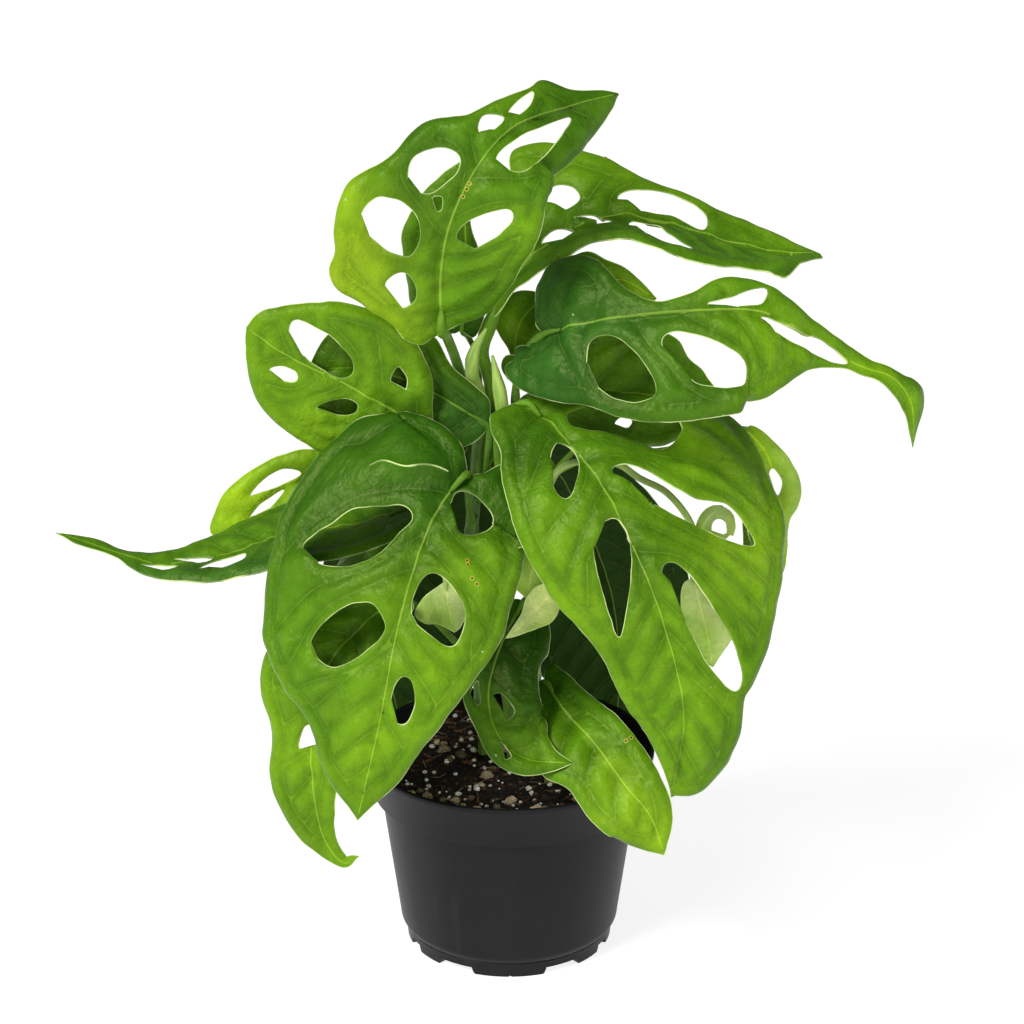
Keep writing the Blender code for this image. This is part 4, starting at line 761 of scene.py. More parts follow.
def leaf_material(name, shine):
    """Satin leaf: mottled green, pale ribs and veins, a cream edge, a paler underside."""
    n = Nodes(name, Specular_IOR_Level=shine, Specular_Tint=LEAF_SHINE_TINT)
    flat, tint = n.vector("flat"), n.vector("tint")
    rim, vein, rib = n.value("rim"), n.value("vein"), n.value("rib")
    under, spot = n.value("under"), n.value("spot")
    blade = n.rest(n.value("stalk"))
    # Mottling
    cloud = n.noise(flat, 0.11, 4.0)
    colour = n.shade(n.fall(cloud, 0.4, 0.6), tint, (0.82, 0.88, 0.75))
    colour = n.shade(n.fall(n.noise(flat, 0.8), 0.35, 0.55), colour, (0.88, 0.92, 0.85))
    # A net of fine veins
    shift = n.noise(flat, 0.13, 2.0, "Color")
    bent = n.vectors("ADD", flat, n.vectors("MULTIPLY", shift, (7.0, 7.0, 7.0)))
    net = n.cells(bent, 0.1, "DISTANCE_TO_EDGE")["Distance"]
    lines = n.times(n.fall(net, 0.008, 0.035), blade)
    lines = n.times(lines, n.fall(n.noise(flat, 0.09, 2.0), 0.42, 0.6))
    paler = n.tinted(colour, (1.45, 1.25, 1.6))
    colour = n.mix(n.times(lines, 0.45), colour, paler)
    # Side veins, with painted shade in the grooves beside them and pale along them, and the midrib
    uneven = n.scaled(n.fall(n.noise(flat, 0.05, 2.0), 0.35, 0.65), 0.5, 0.22)
    colour = n.shade(n.times(n.fall(vein, 0.3, 3.6), uneven), colour, (0.5, 0.64, 0.5))
    seen = n.fall(n.noise(flat, 0.07, 2.0), 0.3, 0.75)
    line = n.times(n.fall(vein, 0.08, 0.45), n.times(seen, 0.6))
    colour = n.mix(line, colour, n.mix(0.15, paler, (0.34, 0.5, 0.06)))
    midrib = n.mix(0.4, n.tinted(colour, (1.9, 1.5, 1.6)), (0.38, 0.56, 0.07))
    colour = n.mix(n.times(n.fall(rib, 0.25, 0.85), 0.75), colour, midrib)
    # Underside, flecks, pale edge and dead spots
    whitish = n.mix(0.12, n.tinted(colour, (1.2, 1.12, 1.6)), (0.2, 0.34, 0.09))
    colour = n.mix(n.times(under, 0.42), colour, whitish)
    fleck = n.times(n.fall(n.cells(flat, 0.05)["Distance"], 0.012, 0.03), blade)
    colour = n.mix(n.times(fleck, 0.6), colour, (0.5, 0.6, 0.38))
    lit = n.scaled(n.fall(n.noise(flat, 0.06, 1.0), 0.4, 0.6), 0.6, 0.2)
    edge = n.times(n.fall(rim, 0.1, 0.5), blade)
    colour = n.mix(n.times(edge, lit), colour, (0.68, 0.8, 0.34))
    colour = n.mix(n.times(n.fall(spot, 0.9, 1.3), 0.8), colour, (0.42, 0.36, 0.05))
    colour = n.mix(n.fall(spot, 0.45, 0.8), colour, (0.05, 0.022, 0.008))
    # Relief
    normal = n.bump(n.noise(flat, 0.3, 5.0), 0.0012, 0.6)
    normal = n.bump(lines, 0.00025, 0.6, normal)
    normal = n.bump(n.rest(n.fall(net, 0.0, 0.28)), 0.0005, 0.35, normal)
    small = n.cells(bent, 0.23, "DISTANCE_TO_EDGE")["Distance"]
    normal = n.bump(n.rest(n.fall(small, 0.0, 0.3)), 0.00015, 0.4, normal)
    rough = n.math("ADD", n.scaled(cloud, 0.2, 0.3), n.times(under, 0.14))
    return n.finish(Base_Color=colour, Roughness=rough, Normal=normal)


def stem_material():
    """Smooth green stem with faint lengthwise streaks and pale corky dots."""
    n = Nodes("stem", Coat_Weight=0.1, Coat_Roughness=0.3)
    flat = n.vector("flat")
    streaks = n.noise(n.vectors("MULTIPLY", flat, (0.15, 1.0, 1.0)), 0.6)
    colour = n.shade(n.fall(streaks, 0.35, 0.65), n.vector("tint"), (0.6, 0.68, 0.55))
    dots = n.fall(n.cells(flat, 0.45)["Distance"], 0.08, 0.16)
    colour = n.mix(n.times(dots, 0.35), colour, (0.4, 0.42, 0.22))
    rough = n.scaled(streaks, 0.2, 0.34)
    return n.finish(Base_Color=colour, Roughness=rough, Normal=n.bump(streaks, 0.0002, 0.5))


def pot_material():
    """Moulded black plastic: matt and finely grained, with faint dust and rubbed marks."""
    n = Nodes("black_plastic", Specular_IOR_Level=0.16)
    place = n.place()
    dust = n.noise(place, 26.0, 6.0)
    streak = n.noise(n.vectors("MULTIPLY", place, (1.0, 1.0, 0.08)), 60.0)
    colour = n.mix(n.fall(dust, 0.42, 0.62), (0.0085, 0.0085, 0.0085), (0.0065, 0.0065, 0.0067))
    colour = n.mix(n.times(n.fall(streak, 0.3, 0.42), 0.25), colour, (0.03, 0.03, 0.0295))
    normal = n.bump(n.noise(place, 900.0, 2.0), 0.00003, 0.4)
    return n.finish(Base_Color=colour, Roughness=n.scaled(dust, 0.12, 0.36), Normal=normal)


def bed_material():
    """Damp dark mix: near black, with brown and rust-coloured crumbs."""
    n = Nodes("bed", Specular_IOR_Level=0.25, Roughness=0.88)
    place = n.place()
    crumbs = n.cells(place, 620.0)
    tone = n.make("SeparateColor", {"Color": crumbs["Color"]}).outputs[0]
    colour = n.mix(n.fall(tone, 0.5, 0.9), (0.034, 0.02, 0.011), (0.008, 0.006, 0.005))
    colour = n.mix(n.fall(tone, 0.03, 0.07), colour, (0.11, 0.045, 0.014))
    patches = n.fall(n.noise(place, 70.0, 4.0), 0.4, 0.6)
    colour = n.shade(patches, colour, (0.4, 0.38, 0.36))
    normal = n.bump(crumbs["Distance"], 0.0011, 1.0)
    normal = n.bump(n.noise(place, 1500.0), 0.0003, 0.8, normal)
    return n.finish(Base_Color=colour, Normal=normal)


def grain_material(name, low, high, roughness, pits):
    """Loose grains, each with its own shade between two colours, and a pitted face."""
    n = Nodes(name, Specular_IOR_Level=0.3, Roughness=roughness)
    speck = n.noise(n.place(), 900.0, 4.0)
    colour = n.mix(n.value("grain"), low, high)
    colour = n.shade(n.fall(speck, 0.36, 0.56), colour, (0.55, 0.5, 0.42))
    return n.finish(Base_Color=colour, Normal=n.bump(speck, pits, 0.9))


def floor_material():
    n = Nodes("floor", Roughness=0.7, Specular_IOR_Level=0.1)
    haze = n.mix(n.noise(n.place(), 3.0, 2.0), (0.3, 0.3, 0.3), (0.33, 0.33, 0.33))
    return n.finish(Base_Color=haze, Emission_Color=(1.0, 1.0, 1.0), Emission_Strength=FLOOR_GLOW)


# Points and curves


def smooth_line(points, steps=CURVE_STEPS):
    """A Catmull-Rom curve through the points."""
    knots = np.asarray(points, float)
    ends = np.vstack([2 * knots[0] - knots[1], knots, 2 * knots[-1] - knots[-2]])
    line = []
    for before, start, end, after in zip(ends, ends[1:], ends[2:], ends[3:]):
        square = 2 * before - 5 * start + 4 * end - after
        cube = 3 * start - before - 3 * end + after
        for s in np.linspace(0, 1, steps, endpoint=False):
            line.append(0.5 * (2 * start + (end - before) * s + square * s**2 + cube * s**3))
    line.append(knots[-1])
    return np.array(line)


def lengths_along(line):
    return np.concatenate([[0], np.cumsum(np.linalg.norm(np.diff(line, axis=0), axis=1))])


def columns_at(at, along, rows):
    """Each column of the rows, given along a line, at other places on it."""
    return np.stack([np.interp(at, along, rows[:, i]) for i in range(rows.shape[1])], axis=-1)


def spaced(line, step):
    """Points about one step apart along a line, both ends kept."""
    along = lengths_along(line)
    count = max(2, round(along[-1] / step) + 1)
    return columns_at(np.linspace(0, along[-1], count), along, line)


def unit(rows):
    return rows / np.maximum(np.linalg.norm(rows, axis=-1, keepdims=True), TINY)


def beside(ahead):
    """The flat directions square to others."""
    return np.stack([-ahead[:, 1], ahead[:, 0]], axis=1)


def bell(gap, reach):
    """1 at no gap, and next to nothing at twice the reach."""
    return np.exp(-((gap / reach) ** 2))


def ramp(size, full):
    """From 0 up to 1 where the size is the full one or more."""
    return np.minimum(1, size / full)


def circle(count):
    """Places round a circle of radius 1."""
    angles = np.linspace(0, 2 * math.pi, count, endpoint=False)
    return np.stack([np.cos(angles), np.sin(angles)], axis=1)


def wobble(points, size, seed):
    """Smooth noise between -1 and 1 at each point, with features of about that size."""
    rows = np.column_stack([points, np.zeros(len(points))]) if points.shape[1] == 2 else points
    return np.array([noise.noise(Vector(row / size) + Vector((seed, 0.7 * seed, 0.3))) for row in rows])


def nearest(points, *lines):
    """The distance from each flat point to the nearest point of the lines."""
    targets = [target for line in lines for target in line]
    if not targets:
        return np.full(len(points), FAR)
    tree = kdtree.KDTree(len(targets))
    for i, target in enumerate(targets):
        tree.insert((*target, 0), i)
    tree.balance()
    return np.minimum([tree.find((*point, 0))[2] for point in points], FAR)


# Meshes


class Body:
    """Vertices, faces and named values of the vertices, collected for one mesh."""

    def __init__(self):
        self.places = []
        self.faces = []
        self.values = {}
        self.count = 0

    def add(self, places, faces, **values):
        self.faces += [tuple(int(i) + self.count for i in face) for face in faces]
        self.places.append(np.asarray(places, float))
        for name, rows in values.items():
            self.values.setdefault(name, []).append((self.count, np.asarray(rows, float)))
        self.count += len(places)

    def mesh(self, name, smooth=True):
        mesh = bpy.data.meshes.new(name)
        mesh.from_pydata(np.vstack(self.places) * MM + np.array(SHIFT), [], self.faces)
        for key, parts in self.values.items():
            self.write(mesh, key, parts)
        mesh.shade_smooth() if smooth else mesh.shade_flat()
        return mesh

    def write(self, mesh, key, parts):
        wide = parts[0][1].ndim == 2
        rows = np.zeros((self.count, 3) if wide else self.count, np.float32)
        for start, part in parts:
            rows[start:start + len(part)] = part
        attribute = mesh.attributes.new(key, "FLOAT_VECTOR" if wide else "FLOAT", "POINT")
        attribute.data.foreach_set("vector" if wide else "value", rows.ravel())


def linked(name, data):
    thing = bpy.data.objects.new(name, data)
    bpy.context.scene.collection.objects.link(thing)
    return thing


def show(mesh, name, made, slot, *nodes):
    """A piece that stands for the nodes, with its material. The slot in the record is not used."""
    piece = linked(name, mesh)
    mesh.materials.append(made)
    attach(piece, "root")
    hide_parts(*nodes)


def ring_faces(rows, sides, start):
    """The faces between neighbouring rings of points, from the number of the first point on."""
    faces = []
    for row in range(start, start + rows * sides, sides):
        for i in range(sides):
            a = row + i
            b = row + (i + 1) % sides
            faces.append((a, b, b + sides, a + sides))
    return faces


def tube(line, radii, sides):
    """Places and faces of a closed round tube along a line."""
    tangents = unit(np.gradient(line, axis=0))
    across = np.cross(tangents[0], (0, 0, 1) if abs(tangents[0][2]) < 0.9 else (1, 0, 0))
    places = []
    for centre, tangent, radius in zip(line, tangents, radii):
        across = unit(across - np.dot(across, tangent) * tangent)
        places.append(centre + radius * (circle(sides) @ [across, np.cross(tangent, across)]))
    faces = ring_faces(len(line) - 1, sides, 0)
    last = (len(line) - 1) * sides
    faces.append(tuple(range(sides - 1, -1, -1)))
    faces.append(tuple(range(last, last + sides)))
    return np.vstack(places), faces


# Leaves


def blend(values, share):
    """Values given at even steps along the leaf, at each share of its length."""
    rows = np.asarray(values, float)
    return columns_at(share, np.linspace(0, 1, len(rows)), rows)


def of_side(values, share, side):
    """The value of each point's own side, where one number holds for both sides."""
    pairs = [value if isinstance(value, tuple) else (value, value) for value in values]
    return np.radians(blend(pairs, share))[np.arange(len(side)), side]


def bend(leaf, flat):
    """Points of the flat pattern in space, and the midrib's length."""
    line = smooth_line(leaf["spine"])
    along = lengths_along(line)
    tangents = unit(np.gradient(line, along, axis=0))
    u, v = np.asarray(flat, float).T
    inside = np.clip(u, 0, along[-1])
    share = inside / along[-1]
    ahead = unit(columns_at(inside, along, tangents))
    centre = columns_at(inside, along, line) + (u - inside)[:, None] * ahead
    face = blend(leaf["face"], share)
    up = unit(face - np.sum(face * ahead, axis=1, keepdims=True) * ahead)
    across = np.cross(ahead, up)
    side = np.where(v < 0, 0, 1)
    fold = of_side(leaf["fold"], share, side)
    turn = of_side(leaf["curl"], share, side) / CURL_WIDTH
    turn = np.where(np.abs(turn) < TINY, TINY, turn)
    end = fold + turn * np.abs(v)
    out = np.sign(v) * (np.sin(end) - np.sin(fold)) / turn
    rise = (np.cos(fold) - np.cos(end)) / turn
    return centre + out[:, None] * across + rise[:, None] * up, along[-1]


def inside_loop(points, loop):
    """Which of the flat points lie inside a closed loop."""
    x, y = points[:, :1], points[:, 1:]
    ax, ay = loop.T
    bx, by = np.roll(loop, -1, axis=0).T
    crosses = ((ay > y) != (by > y)) & (x < (bx - ax) * (y - ay) / (by - ay + TINY) + ax)
    return crosses.sum(axis=1) % 2 == 1


def inside_blade(points, loops):
    keep = inside_loop(points, loops[0])
    for hole in loops[1:]:
        keep &= ~inside_loop(points, hole)
    return keep


def uneven(loop, seed):
    """The loop with the slight unevenness of a grown edge."""
    shift = np.stack([wobble(loop, JITTER_SIZE, seed), wobble(loop, JITTER_SIZE, seed + 5)], axis=1)
    return loop + EDGE_JITTER * shift


def edge_loop(leaf, length, seed):
    """The leaf's edge, from the stalk up one side to the tip and back down the other."""
    sides = [
        spaced(smooth_line([(0, 0)] + leaf[side] + [(length, 0)], EDGE_CURVE_STEPS), EDGE_STEP)
        for side in ("right", "left")
    ]
    return uneven(np.vstack([sides[0], sides[1][-2:0:-1]]), seed)


def hole_loop(points, seed):
    closed = points[-2:] + points + points[:2]
    spare = 2 * EDGE_CURVE_STEPS
    line = smooth_line(closed, EDGE_CURVE_STEPS)[spare:-spare]
    return uneven(spaced(line, HOLE_STEP)[:-1], seed)


def vein_starts(leaf, side, length):
    """Where side veins leave the midrib on one side: between the holes, and evenly elsewhere."""
    marks = [0.0, length]
    for hole in leaf["holes"]:
        points = np.array(hole, float)
        if points[:, 1].mean() * side > 0:
            u, v = points[np.argmin(np.abs(points[:, 1]))]
            first, last = (share * length for share in VEIN_RANGE)
            marks.append(float(np.clip(u - HOLE_LEAD * abs(v), first, last)))
    marks = sorted(marks)
    gap = min(VEIN_GAP, length / LEAST_VEINS)
    starts = []
    for a, b in zip(marks, marks[1:]):
        count = max(1, round((b - a) / gap)) if b - a > 0.4 * gap else 0
        starts += [a + (b - a) * (i + 0.5) / count for i in range(count)]
    return starts


def side_veins(leaf, loops, length):
    """The side veins as flat lines that leave the midrib, pass between holes and arch to the tip."""
    veins = []
    for side in (1, -1):
        for start in vein_starts(leaf, side, length):
            angle = np.interp(start / length, *zip(*VEIN_ANGLES))
            veins.append(grown_vein(start, angle, side, loops))
        if length > LARGE_LEAF:
            veins += [grown_vein(1.0, angle, side, loops) for angle in BASE_VEINS]
    return [vein for vein in veins if len(vein) > 3]


def grown_vein(start, angle, side, loops):
    """One side vein, grown step by step to the edge and then pushed clear of the holes."""
    at = np.array([start, 0.0])
    line = [at]
    for n in range(VEIN_STRIDES):
        turned = math.radians(max(angle - VEIN_TURN * n, VEIN_LEAST_ANGLE))
        at = at + VEIN_STRIDE * np.array([math.cos(turned), side * math.sin(turned)])
        if not inside_loop(at[None], loops[0])[0] or nearest(at[None], loops[0])[0] < MARGIN_VEIN - 0.5:
            break
        line.append(at)
    line = np.array(line)
    if len(line) < 3:
        return line
    if len(line) > 3 and len(loops) > 1:
        line = pushed_clear(line, loops[1:])
    return spaced(smooth_line(line, 4), VEIN_POINT_STEP)


def pushed_clear(line, holes):
    """A line bent round the holes."""
    for _ in range(VEIN_PUSHES):
        for hole in holes:
            gap = line[1:, None] - hole[None]
            distance = np.linalg.norm(gap, axis=2)
            near = distance.argmin(axis=1)
            rows = np.arange(len(near))
            least = distance[rows, near]
            away = unit(gap[rows, near])
            within = inside_loop(line[1:], hole)
            push = np.where(within, -(least + VEIN_CLEARANCE), np.maximum(VEIN_CLEARANCE - least, 0))
            line[1:] += 0.5 * push[:, None] * away
        line[1:-1] = 0.5 * line[1:-1] + 0.25 * (line[:-2] + line[2:])
    return line


def inset(loop, distance, loops):
    """The loop moved into the blade by that distance, and which of its points stay clear of every edge."""
    aside = beside(unit(np.roll(loop, -2, axis=0) - np.roll(loop, 2, axis=0))) * distance
    line = max([loop + aside, loop - aside], key=lambda points: inside_blade(points, loops).sum())
    return line, inside_blade(line, loops) & (nearest(line, *loops) > EDGE_CLEAR * distance)


def margin_veins(loops):
    """The fine veins that run just inside the leaf's edge and join the side veins."""
    closed = np.vstack([loops[0], loops[0][:1]])
    line, kept = inset(spaced(closed, VEIN_POINT_STEP)[:-1], MARGIN_VEIN, loops)
    runs = [[]]
    for point, keep in zip(line, kept):
        if keep:
            runs[-1].append(point)
        elif runs[-1]:
            runs.append([])
    return [spaced(smooth_line(run[::3], 6), VEIN_POINT_STEP) for run in runs if len(run) > 9]


def crease_lines(leaf):
    """The leaf's folds as flat lines, each followed by a line close by on either side."""
    lines = []
    for crease in leaf["creases"]:
        line = spaced(smooth_line(crease, 6), VEIN_POINT_STEP)
        aside = CREASE_WIDTH * beside(unit(np.gradient(line, axis=0)))
        lines += [line, line + aside, line - aside]
    return lines


def spot_points(leaf):
    """Points that outline each small dead spot on the leaf."""
    rings = np.vstack([[(0, 0)], circle(8) * SPOT_SIZES[0], circle(8) * SPOT_SIZES[1]])
    return np.vstack([np.zeros((0, 2))] + [rings + spot for spot in leaf["spots"]])


def fixed_points(leaf, length, loops, veins):
    """The points that the pattern's triangles must have, and the lines between them that they keep."""
    edges = []
    start = 0
    for loop in loops:
        edges += [(start + i, start + (i + 1) % len(loop)) for i in range(len(loop))]
        start += len(loop)
    fixed = [*loops, spot_points(leaf)]
    fixed += [line[kept] for line, kept in (inset(loop, EDGE_ROW, loops) for loop in loops)]
    start = sum(len(points) for points in fixed)
    rib = np.stack([np.arange(1.0, length - 1, VEIN_POINT_STEP)] * 2, axis=1) * (1, 0)
    lines = [rib, rib + (0, RIB_EDGE), rib - (0, RIB_EDGE)] + [vein[1:] for vein in veins]
    for line in lines + crease_lines(leaf):
        kept = inside_blade(line, loops) & (nearest(line, *loops) > LINE_END)
        number = np.cumsum(kept) - 1 + start
        edges += [(number[i], number[i + 1]) for i in range(len(line) - 1) if kept[i] and kept[i + 1]]
        fixed.append(line[kept])
        start += kept.sum()
    return np.vstack(fixed), edges


def grid_points(loops, fixed):
    """Even points that fill the rest of the blade."""
    low, high = loops[0].min(axis=0), loops[0].max(axis=0)
    rows = np.arange(low[1], high[1], GRID_STEP * GRID_ROWS)
    grid = np.array([
        (u, v)
        for n, v in enumerate(rows)
        for u in np.arange(low[0] + n % 2 * GRID_STEP / 2, high[0], GRID_STEP)
    ])
    grid = grid[inside_blade(grid, loops)]
    return grid[nearest(grid, fixed) > GRID_STEP * GRID_CLEAR]


def flat_pattern(leaf, length, seed):
    """The pattern as flat triangles, with its loops and its veins."""
    loops = [edge_loop(leaf, length, seed)]
    loops += [hole_loop(hole, seed + i) for i, hole in enumerate(leaf["holes"])]
    veins = side_veins(leaf, loops, length)
    if length > LARGE_LEAF:
        veins += margin_veins(loops)
    fixed, edges = fixed_points(leaf, length, loops, veins)
    points = np.vstack([fixed, grid_points(loops, fixed)])
    found = geometry.delaunay_2d_cdt([Vector(p) for p in points], edges, [], 0, 0.001)
    flat = np.array([tuple(p) for p in found[0]])
    triangles = np.array(found[2])
    keep = inside_blade(flat[triangles].mean(axis=1), loops)
    return flat, triangles[keep][:, ::-1], loops, veins


def half_width(leaf, flat):
    """The blade's width on each point's own side, at its place along the midrib."""
    widths = np.ones(len(flat))
    for side, sign in (("right", 1), ("left", -1)):
        edge = np.array(sorted(leaf[side]), float)
        here = flat[:, 1] * sign >= 0
        widths[here] = np.maximum(np.interp(flat[here, 0], edge[:, 0], np.abs(edge[:, 1])), LEAST_WIDTH)
    return widths


def blade_relief(leaf, flat, gaps, width, seed):
    """How far the blade's middle surface stands off the smooth bend, and its swelling between veins."""
    edge_gap, hole_gap, vein_gap, crease_gap = gaps
    v = np.abs(flat[:, 1])
    puff = PUFF * (1 - bell(vein_gap, PUFF_REACH)) * ramp(np.minimum(edge_gap, hole_gap), PUFF_REACH)
    puff *= 1 + PUFF_CHANGE * wobble(flat, PUFF_CHANGE_SIZE, seed + 6)
    groove = -GROOVE * bell(vein_gap, GROOVE_REACH)
    valley = -VALLEY * bell(v, VALLEY_REACH) * ramp(width, WIDE)
    waves = WAVE * wobble(flat, WAVE_SIZE, seed) * ramp(v, WAVE_START)
    frill = FRILL * wobble(flat, FRILL_SIZE, seed + 4) * np.exp(-edge_gap / FRILL_REACH)
    ripples = RIPPLE * wobble(flat, RIPPLE_SIZE, seed + 3)
    rolled = -ROLL * np.maximum(0, 1 - edge_gap / ROLL_REACH) ** 2
    rolled -= HOLE_ROLL * np.maximum(0, 1 - hole_gap / HOLE_ROLL_REACH) ** 2
    large = (puff + groove + valley + waves + rolled) * ramp(width, MIDDLING)
    relief = large + (frill + ripples) * ramp(width, NARROW)
    relief += CREASE_RISE * bell(crease_gap, CREASE_WIDTH)
    folds = 0.5 - 2 * np.abs(wobble(flat, CRUMPLE_SIZE, seed + 2))
    relief += leaf["crumple"] * folds * ramp(width, NARROW)
    return relief * leaf["relief"], puff


def surface_normals(places, triangles):
    normals = np.zeros_like(places)
    corners = places[triangles]
    faces = np.cross(corners[:, 1] - corners[:, 0], corners[:, 2] - corners[:, 0])
    for i in range(3):
        np.add.at(normals, triangles[:, i], faces)
    return unit(normals)


def boundary_edges(triangles):
    """The edges that only one triangle has, each in its triangle's direction."""
    edges = np.vstack([triangles[:, [0, 1]], triangles[:, [1, 2]], triangles[:, [2, 0]]])
    known = {(int(a), int(b)) for a, b in edges}
    return [(a, b) for a, b in known if (b, a) not in known]


def leaf_tint(leaf, flat, length, width, seed):
    """The blade's main colour at each point: its own colour, with painted shade and painted light from its
    look and patches.
    """
    stalk, tip, left, right = (np.array(COLOURS[name]) for name in leaf["look"])
    share = np.clip(flat[:, 0] / length, 0, 1)[:, None]
    side = np.where(flat[:, 1:] < 0, left, right)
    out = np.clip(np.abs(flat[:, 1]) / width, 0, 1)[:, None]
    ease = np.clip((share - 0.12) / 0.5, 0, 1)
    middle = stalk + (tip - stalk) * ease * ease * (3 - 2 * ease)
    tint = middle + (side - middle) * SIDE_SHARE * out * np.clip(3 * share, 0.1, 1)
    for u, v, reach, colour in leaf["patches"]:
        near = bell(np.linalg.norm(flat - (u, v), axis=1), reach)[:, None]
        tint = tint + (np.array(COLOURS[colour]) - tint) * PATCH_SHARE * near
    coarse, fine = (wobble(flat, size, seed + 8 + i)[:, None] for i, (size, _) in enumerate(MOTTLES))
    tint = tint * (TINT_GAIN + MOTTLES[0][1] * coarse + MOTTLES[1][1] * fine)
    return np.clip(tint, 0.003, 1) * (1 + np.maximum(coarse, 0) * WARMTH)


def stalk_line(leaf):
    """From inside the stem, straight out of it, to a little way along under the midrib."""
    stem, height, between, radius = leaf["stalk"]
    core = stem_line(stem)
    centre = columns_at(height, core[:, 2], core)
    rib = spaced(smooth_line(leaf["spine"]), STALK_OVERLAP)
    out = np.array(between[0], float) - centre
    out[2] = 0
    out = unit(out)
    start = centre + out * STEM_RADIUS
    turn = start + out * (radius + 2)
    below = bend(leaf, [(2, 0), (2, 1)])[0]
    down = np.cross(below[1] - below[0], rib[1] - rib[0])
    down = -unit(down) * math.copysign(1, np.dot(down, leaf["face"][0]) or 1)
    ends = [rib[0] + 0.5 * radius * down, rib[1] + 0.75 * radius * down]
    line = smooth_line([turn, *(np.array(p, float) for p in between), *ends])
    return np.vstack([centre + out, start, spaced(line, STALK_STEP)]), radius


def round_pattern(line, sides, width, seed):
    """The place of a tube's points in a flat pattern: along it and round it."""
    turn = np.tile(np.arange(sides), len(line)) / sides
    along = np.repeat(lengths_along(line), sides)
    return np.stack([along, width * turn, np.full(len(along), seed)], axis=1)


def add_stalk(body, leaf, seed):
    """The leaf's stalk: sheathed at the stem, slightly swollen under the blade."""
    line, radius = stalk_line(leaf)
    line = spaced(smooth_line(line, 2), STALK_STEP)
    along = lengths_along(line)
    to_end = along[-1] - along
    swelling = SHEATH * np.exp(-along / SHEATH_REACH) + KNEE * bell(to_end - KNEE_PLACE, KNEE_REACH)
    radii = radius * (1 + swelling) * np.interp(to_end, *zip(*STALK_TAPER))
    places, faces = tube(line, radii, STALK_SIDES)
    flat = round_pattern(line, STALK_SIDES, 12, 70.0 + seed)
    colour = (1 - STALK_SHARE) * np.array(COLOURS[leaf["look"][0]]) + STALK_SHARE * np.array(STALK_COLOUR)
    tint = np.tile(colour, (len(places), 1)) * (1 + 0.25 * wobble(flat, 14, seed)[:, None])
    far = np.full(len(places), FAR)
    body.add(places, faces, flat=flat, tint=tint, vein=far, rim=far, rib=far, spot=far, under=0 * far,
             stalk=1 + 0 * far)


def make_leaf(name, leaf, seed, made):
    length = bend(leaf, [(0, 0)])[1]
    flat, triangles, loops, veins = flat_pattern(leaf, length, seed)
    places = bend(leaf, flat)[0]
    normals = surface_normals(places, triangles)
    width = half_width(leaf, flat)
    gaps = [nearest(flat, *lines) for lines in (loops[:1], loops[1:], veins, crease_lines(leaf)[::3])]
    edge_gap, hole_gap, vein_gap, crease_gap = gaps
    rim_gap = np.minimum(edge_gap, hole_gap)
    relief, puff = blade_relief(leaf, flat, gaps, width, seed)
    middle = places + normals * relief[:, None]
    # The midrib and the veins stand out below, the midrib also a little above
    half = np.interp(rim_gap, [0, THIN_EDGE], [EDGE_BLADE / 2, BLADE / 2])
    rib_gap = np.abs(flat[:, 1]) + np.maximum(0, flat[:, 0] - length + RIB_END)
    rib_size = leaf["stalk"][3] * (1 - RIB_THINNING * np.clip(flat[:, 0] / length, 0, 1))
    above = half + RIB_ABOVE * rib_size * bell(rib_gap, RIB_ABOVE_REACH)
    below = half + RIB_BELOW * rib_size * bell(rib_gap, RIB_BELOW_REACH + RIB_BELOW_SPREAD * rib_size)
    below += VEIN_BELOW * bell(vein_gap, VEIN_BELOW_REACH)
    # The values that the leaf's material reads
    values = dict(
        flat=np.column_stack([flat, np.full(len(flat), float(seed))]),
        # The tint is lightened on the swellings and darkened in the hollows: painted light and painted shade
        tint=leaf_tint(leaf, flat, length, width, seed) * (HOLLOW_PAINTED_SHADE + PUFF_PAINTED_LIGHT * puff)[:, None],
        vein=vein_gap,
        rim=np.minimum(rim_gap, crease_gap),
        rib=rib_gap / np.interp(flat[:, 0], [0, length], [1.0, 0.35]),
        spot=nearest(flat, leaf["spots"]),
        stalk=np.zeros(len(flat)),
    )
    body = Body()
    body.add(middle + normals * above[:, None], triangles, under=np.zeros(len(flat)), **values)
    # The underside of a leaf that hangs behind takes a near black painted shade
    if "below" in leaf:
        values["tint"] = np.tile(COLOURS[leaf["below"]], (len(flat), 1))
    body.add(middle - normals * below[:, None], triangles[:, ::-1], under=np.ones(len(flat)), **values)
    edges = boundary_edges(triangles)
    count = len(flat)
    body.faces += [(b, a, a + count, b + count) for a, b in edges]
    add_stalk(body, leaf, seed)
    mesh = body.mesh(name + "_fine")
    mark_sharp(mesh, {(min(a, b), max(a, b)) for a, b in edges}, count)
    show(mesh, name + "_fine", made, SLOTS[name], name)


def mark_sharp(mesh, edges, count):
    """Keeps the blade's edge crisp where its faces meet the thin side."""
    sharp = edges | {(a + count, b + count) for a, b in edges}
    ends = np.zeros(2 * len(mesh.edges), np.int64)
    mesh.edges.foreach_get("vertices", ends)
    flags = [tuple(sorted(pair)) in sharp for pair in ends.reshape(-1, 2).tolist()]
    mesh.attributes.new("sharp_edge", "BOOLEAN", "EDGE").data.foreach_set("value", flags)


# Stems


def stem_line(name):
    return spaced(smooth_line(STEMS[name]), STEM_STEP)


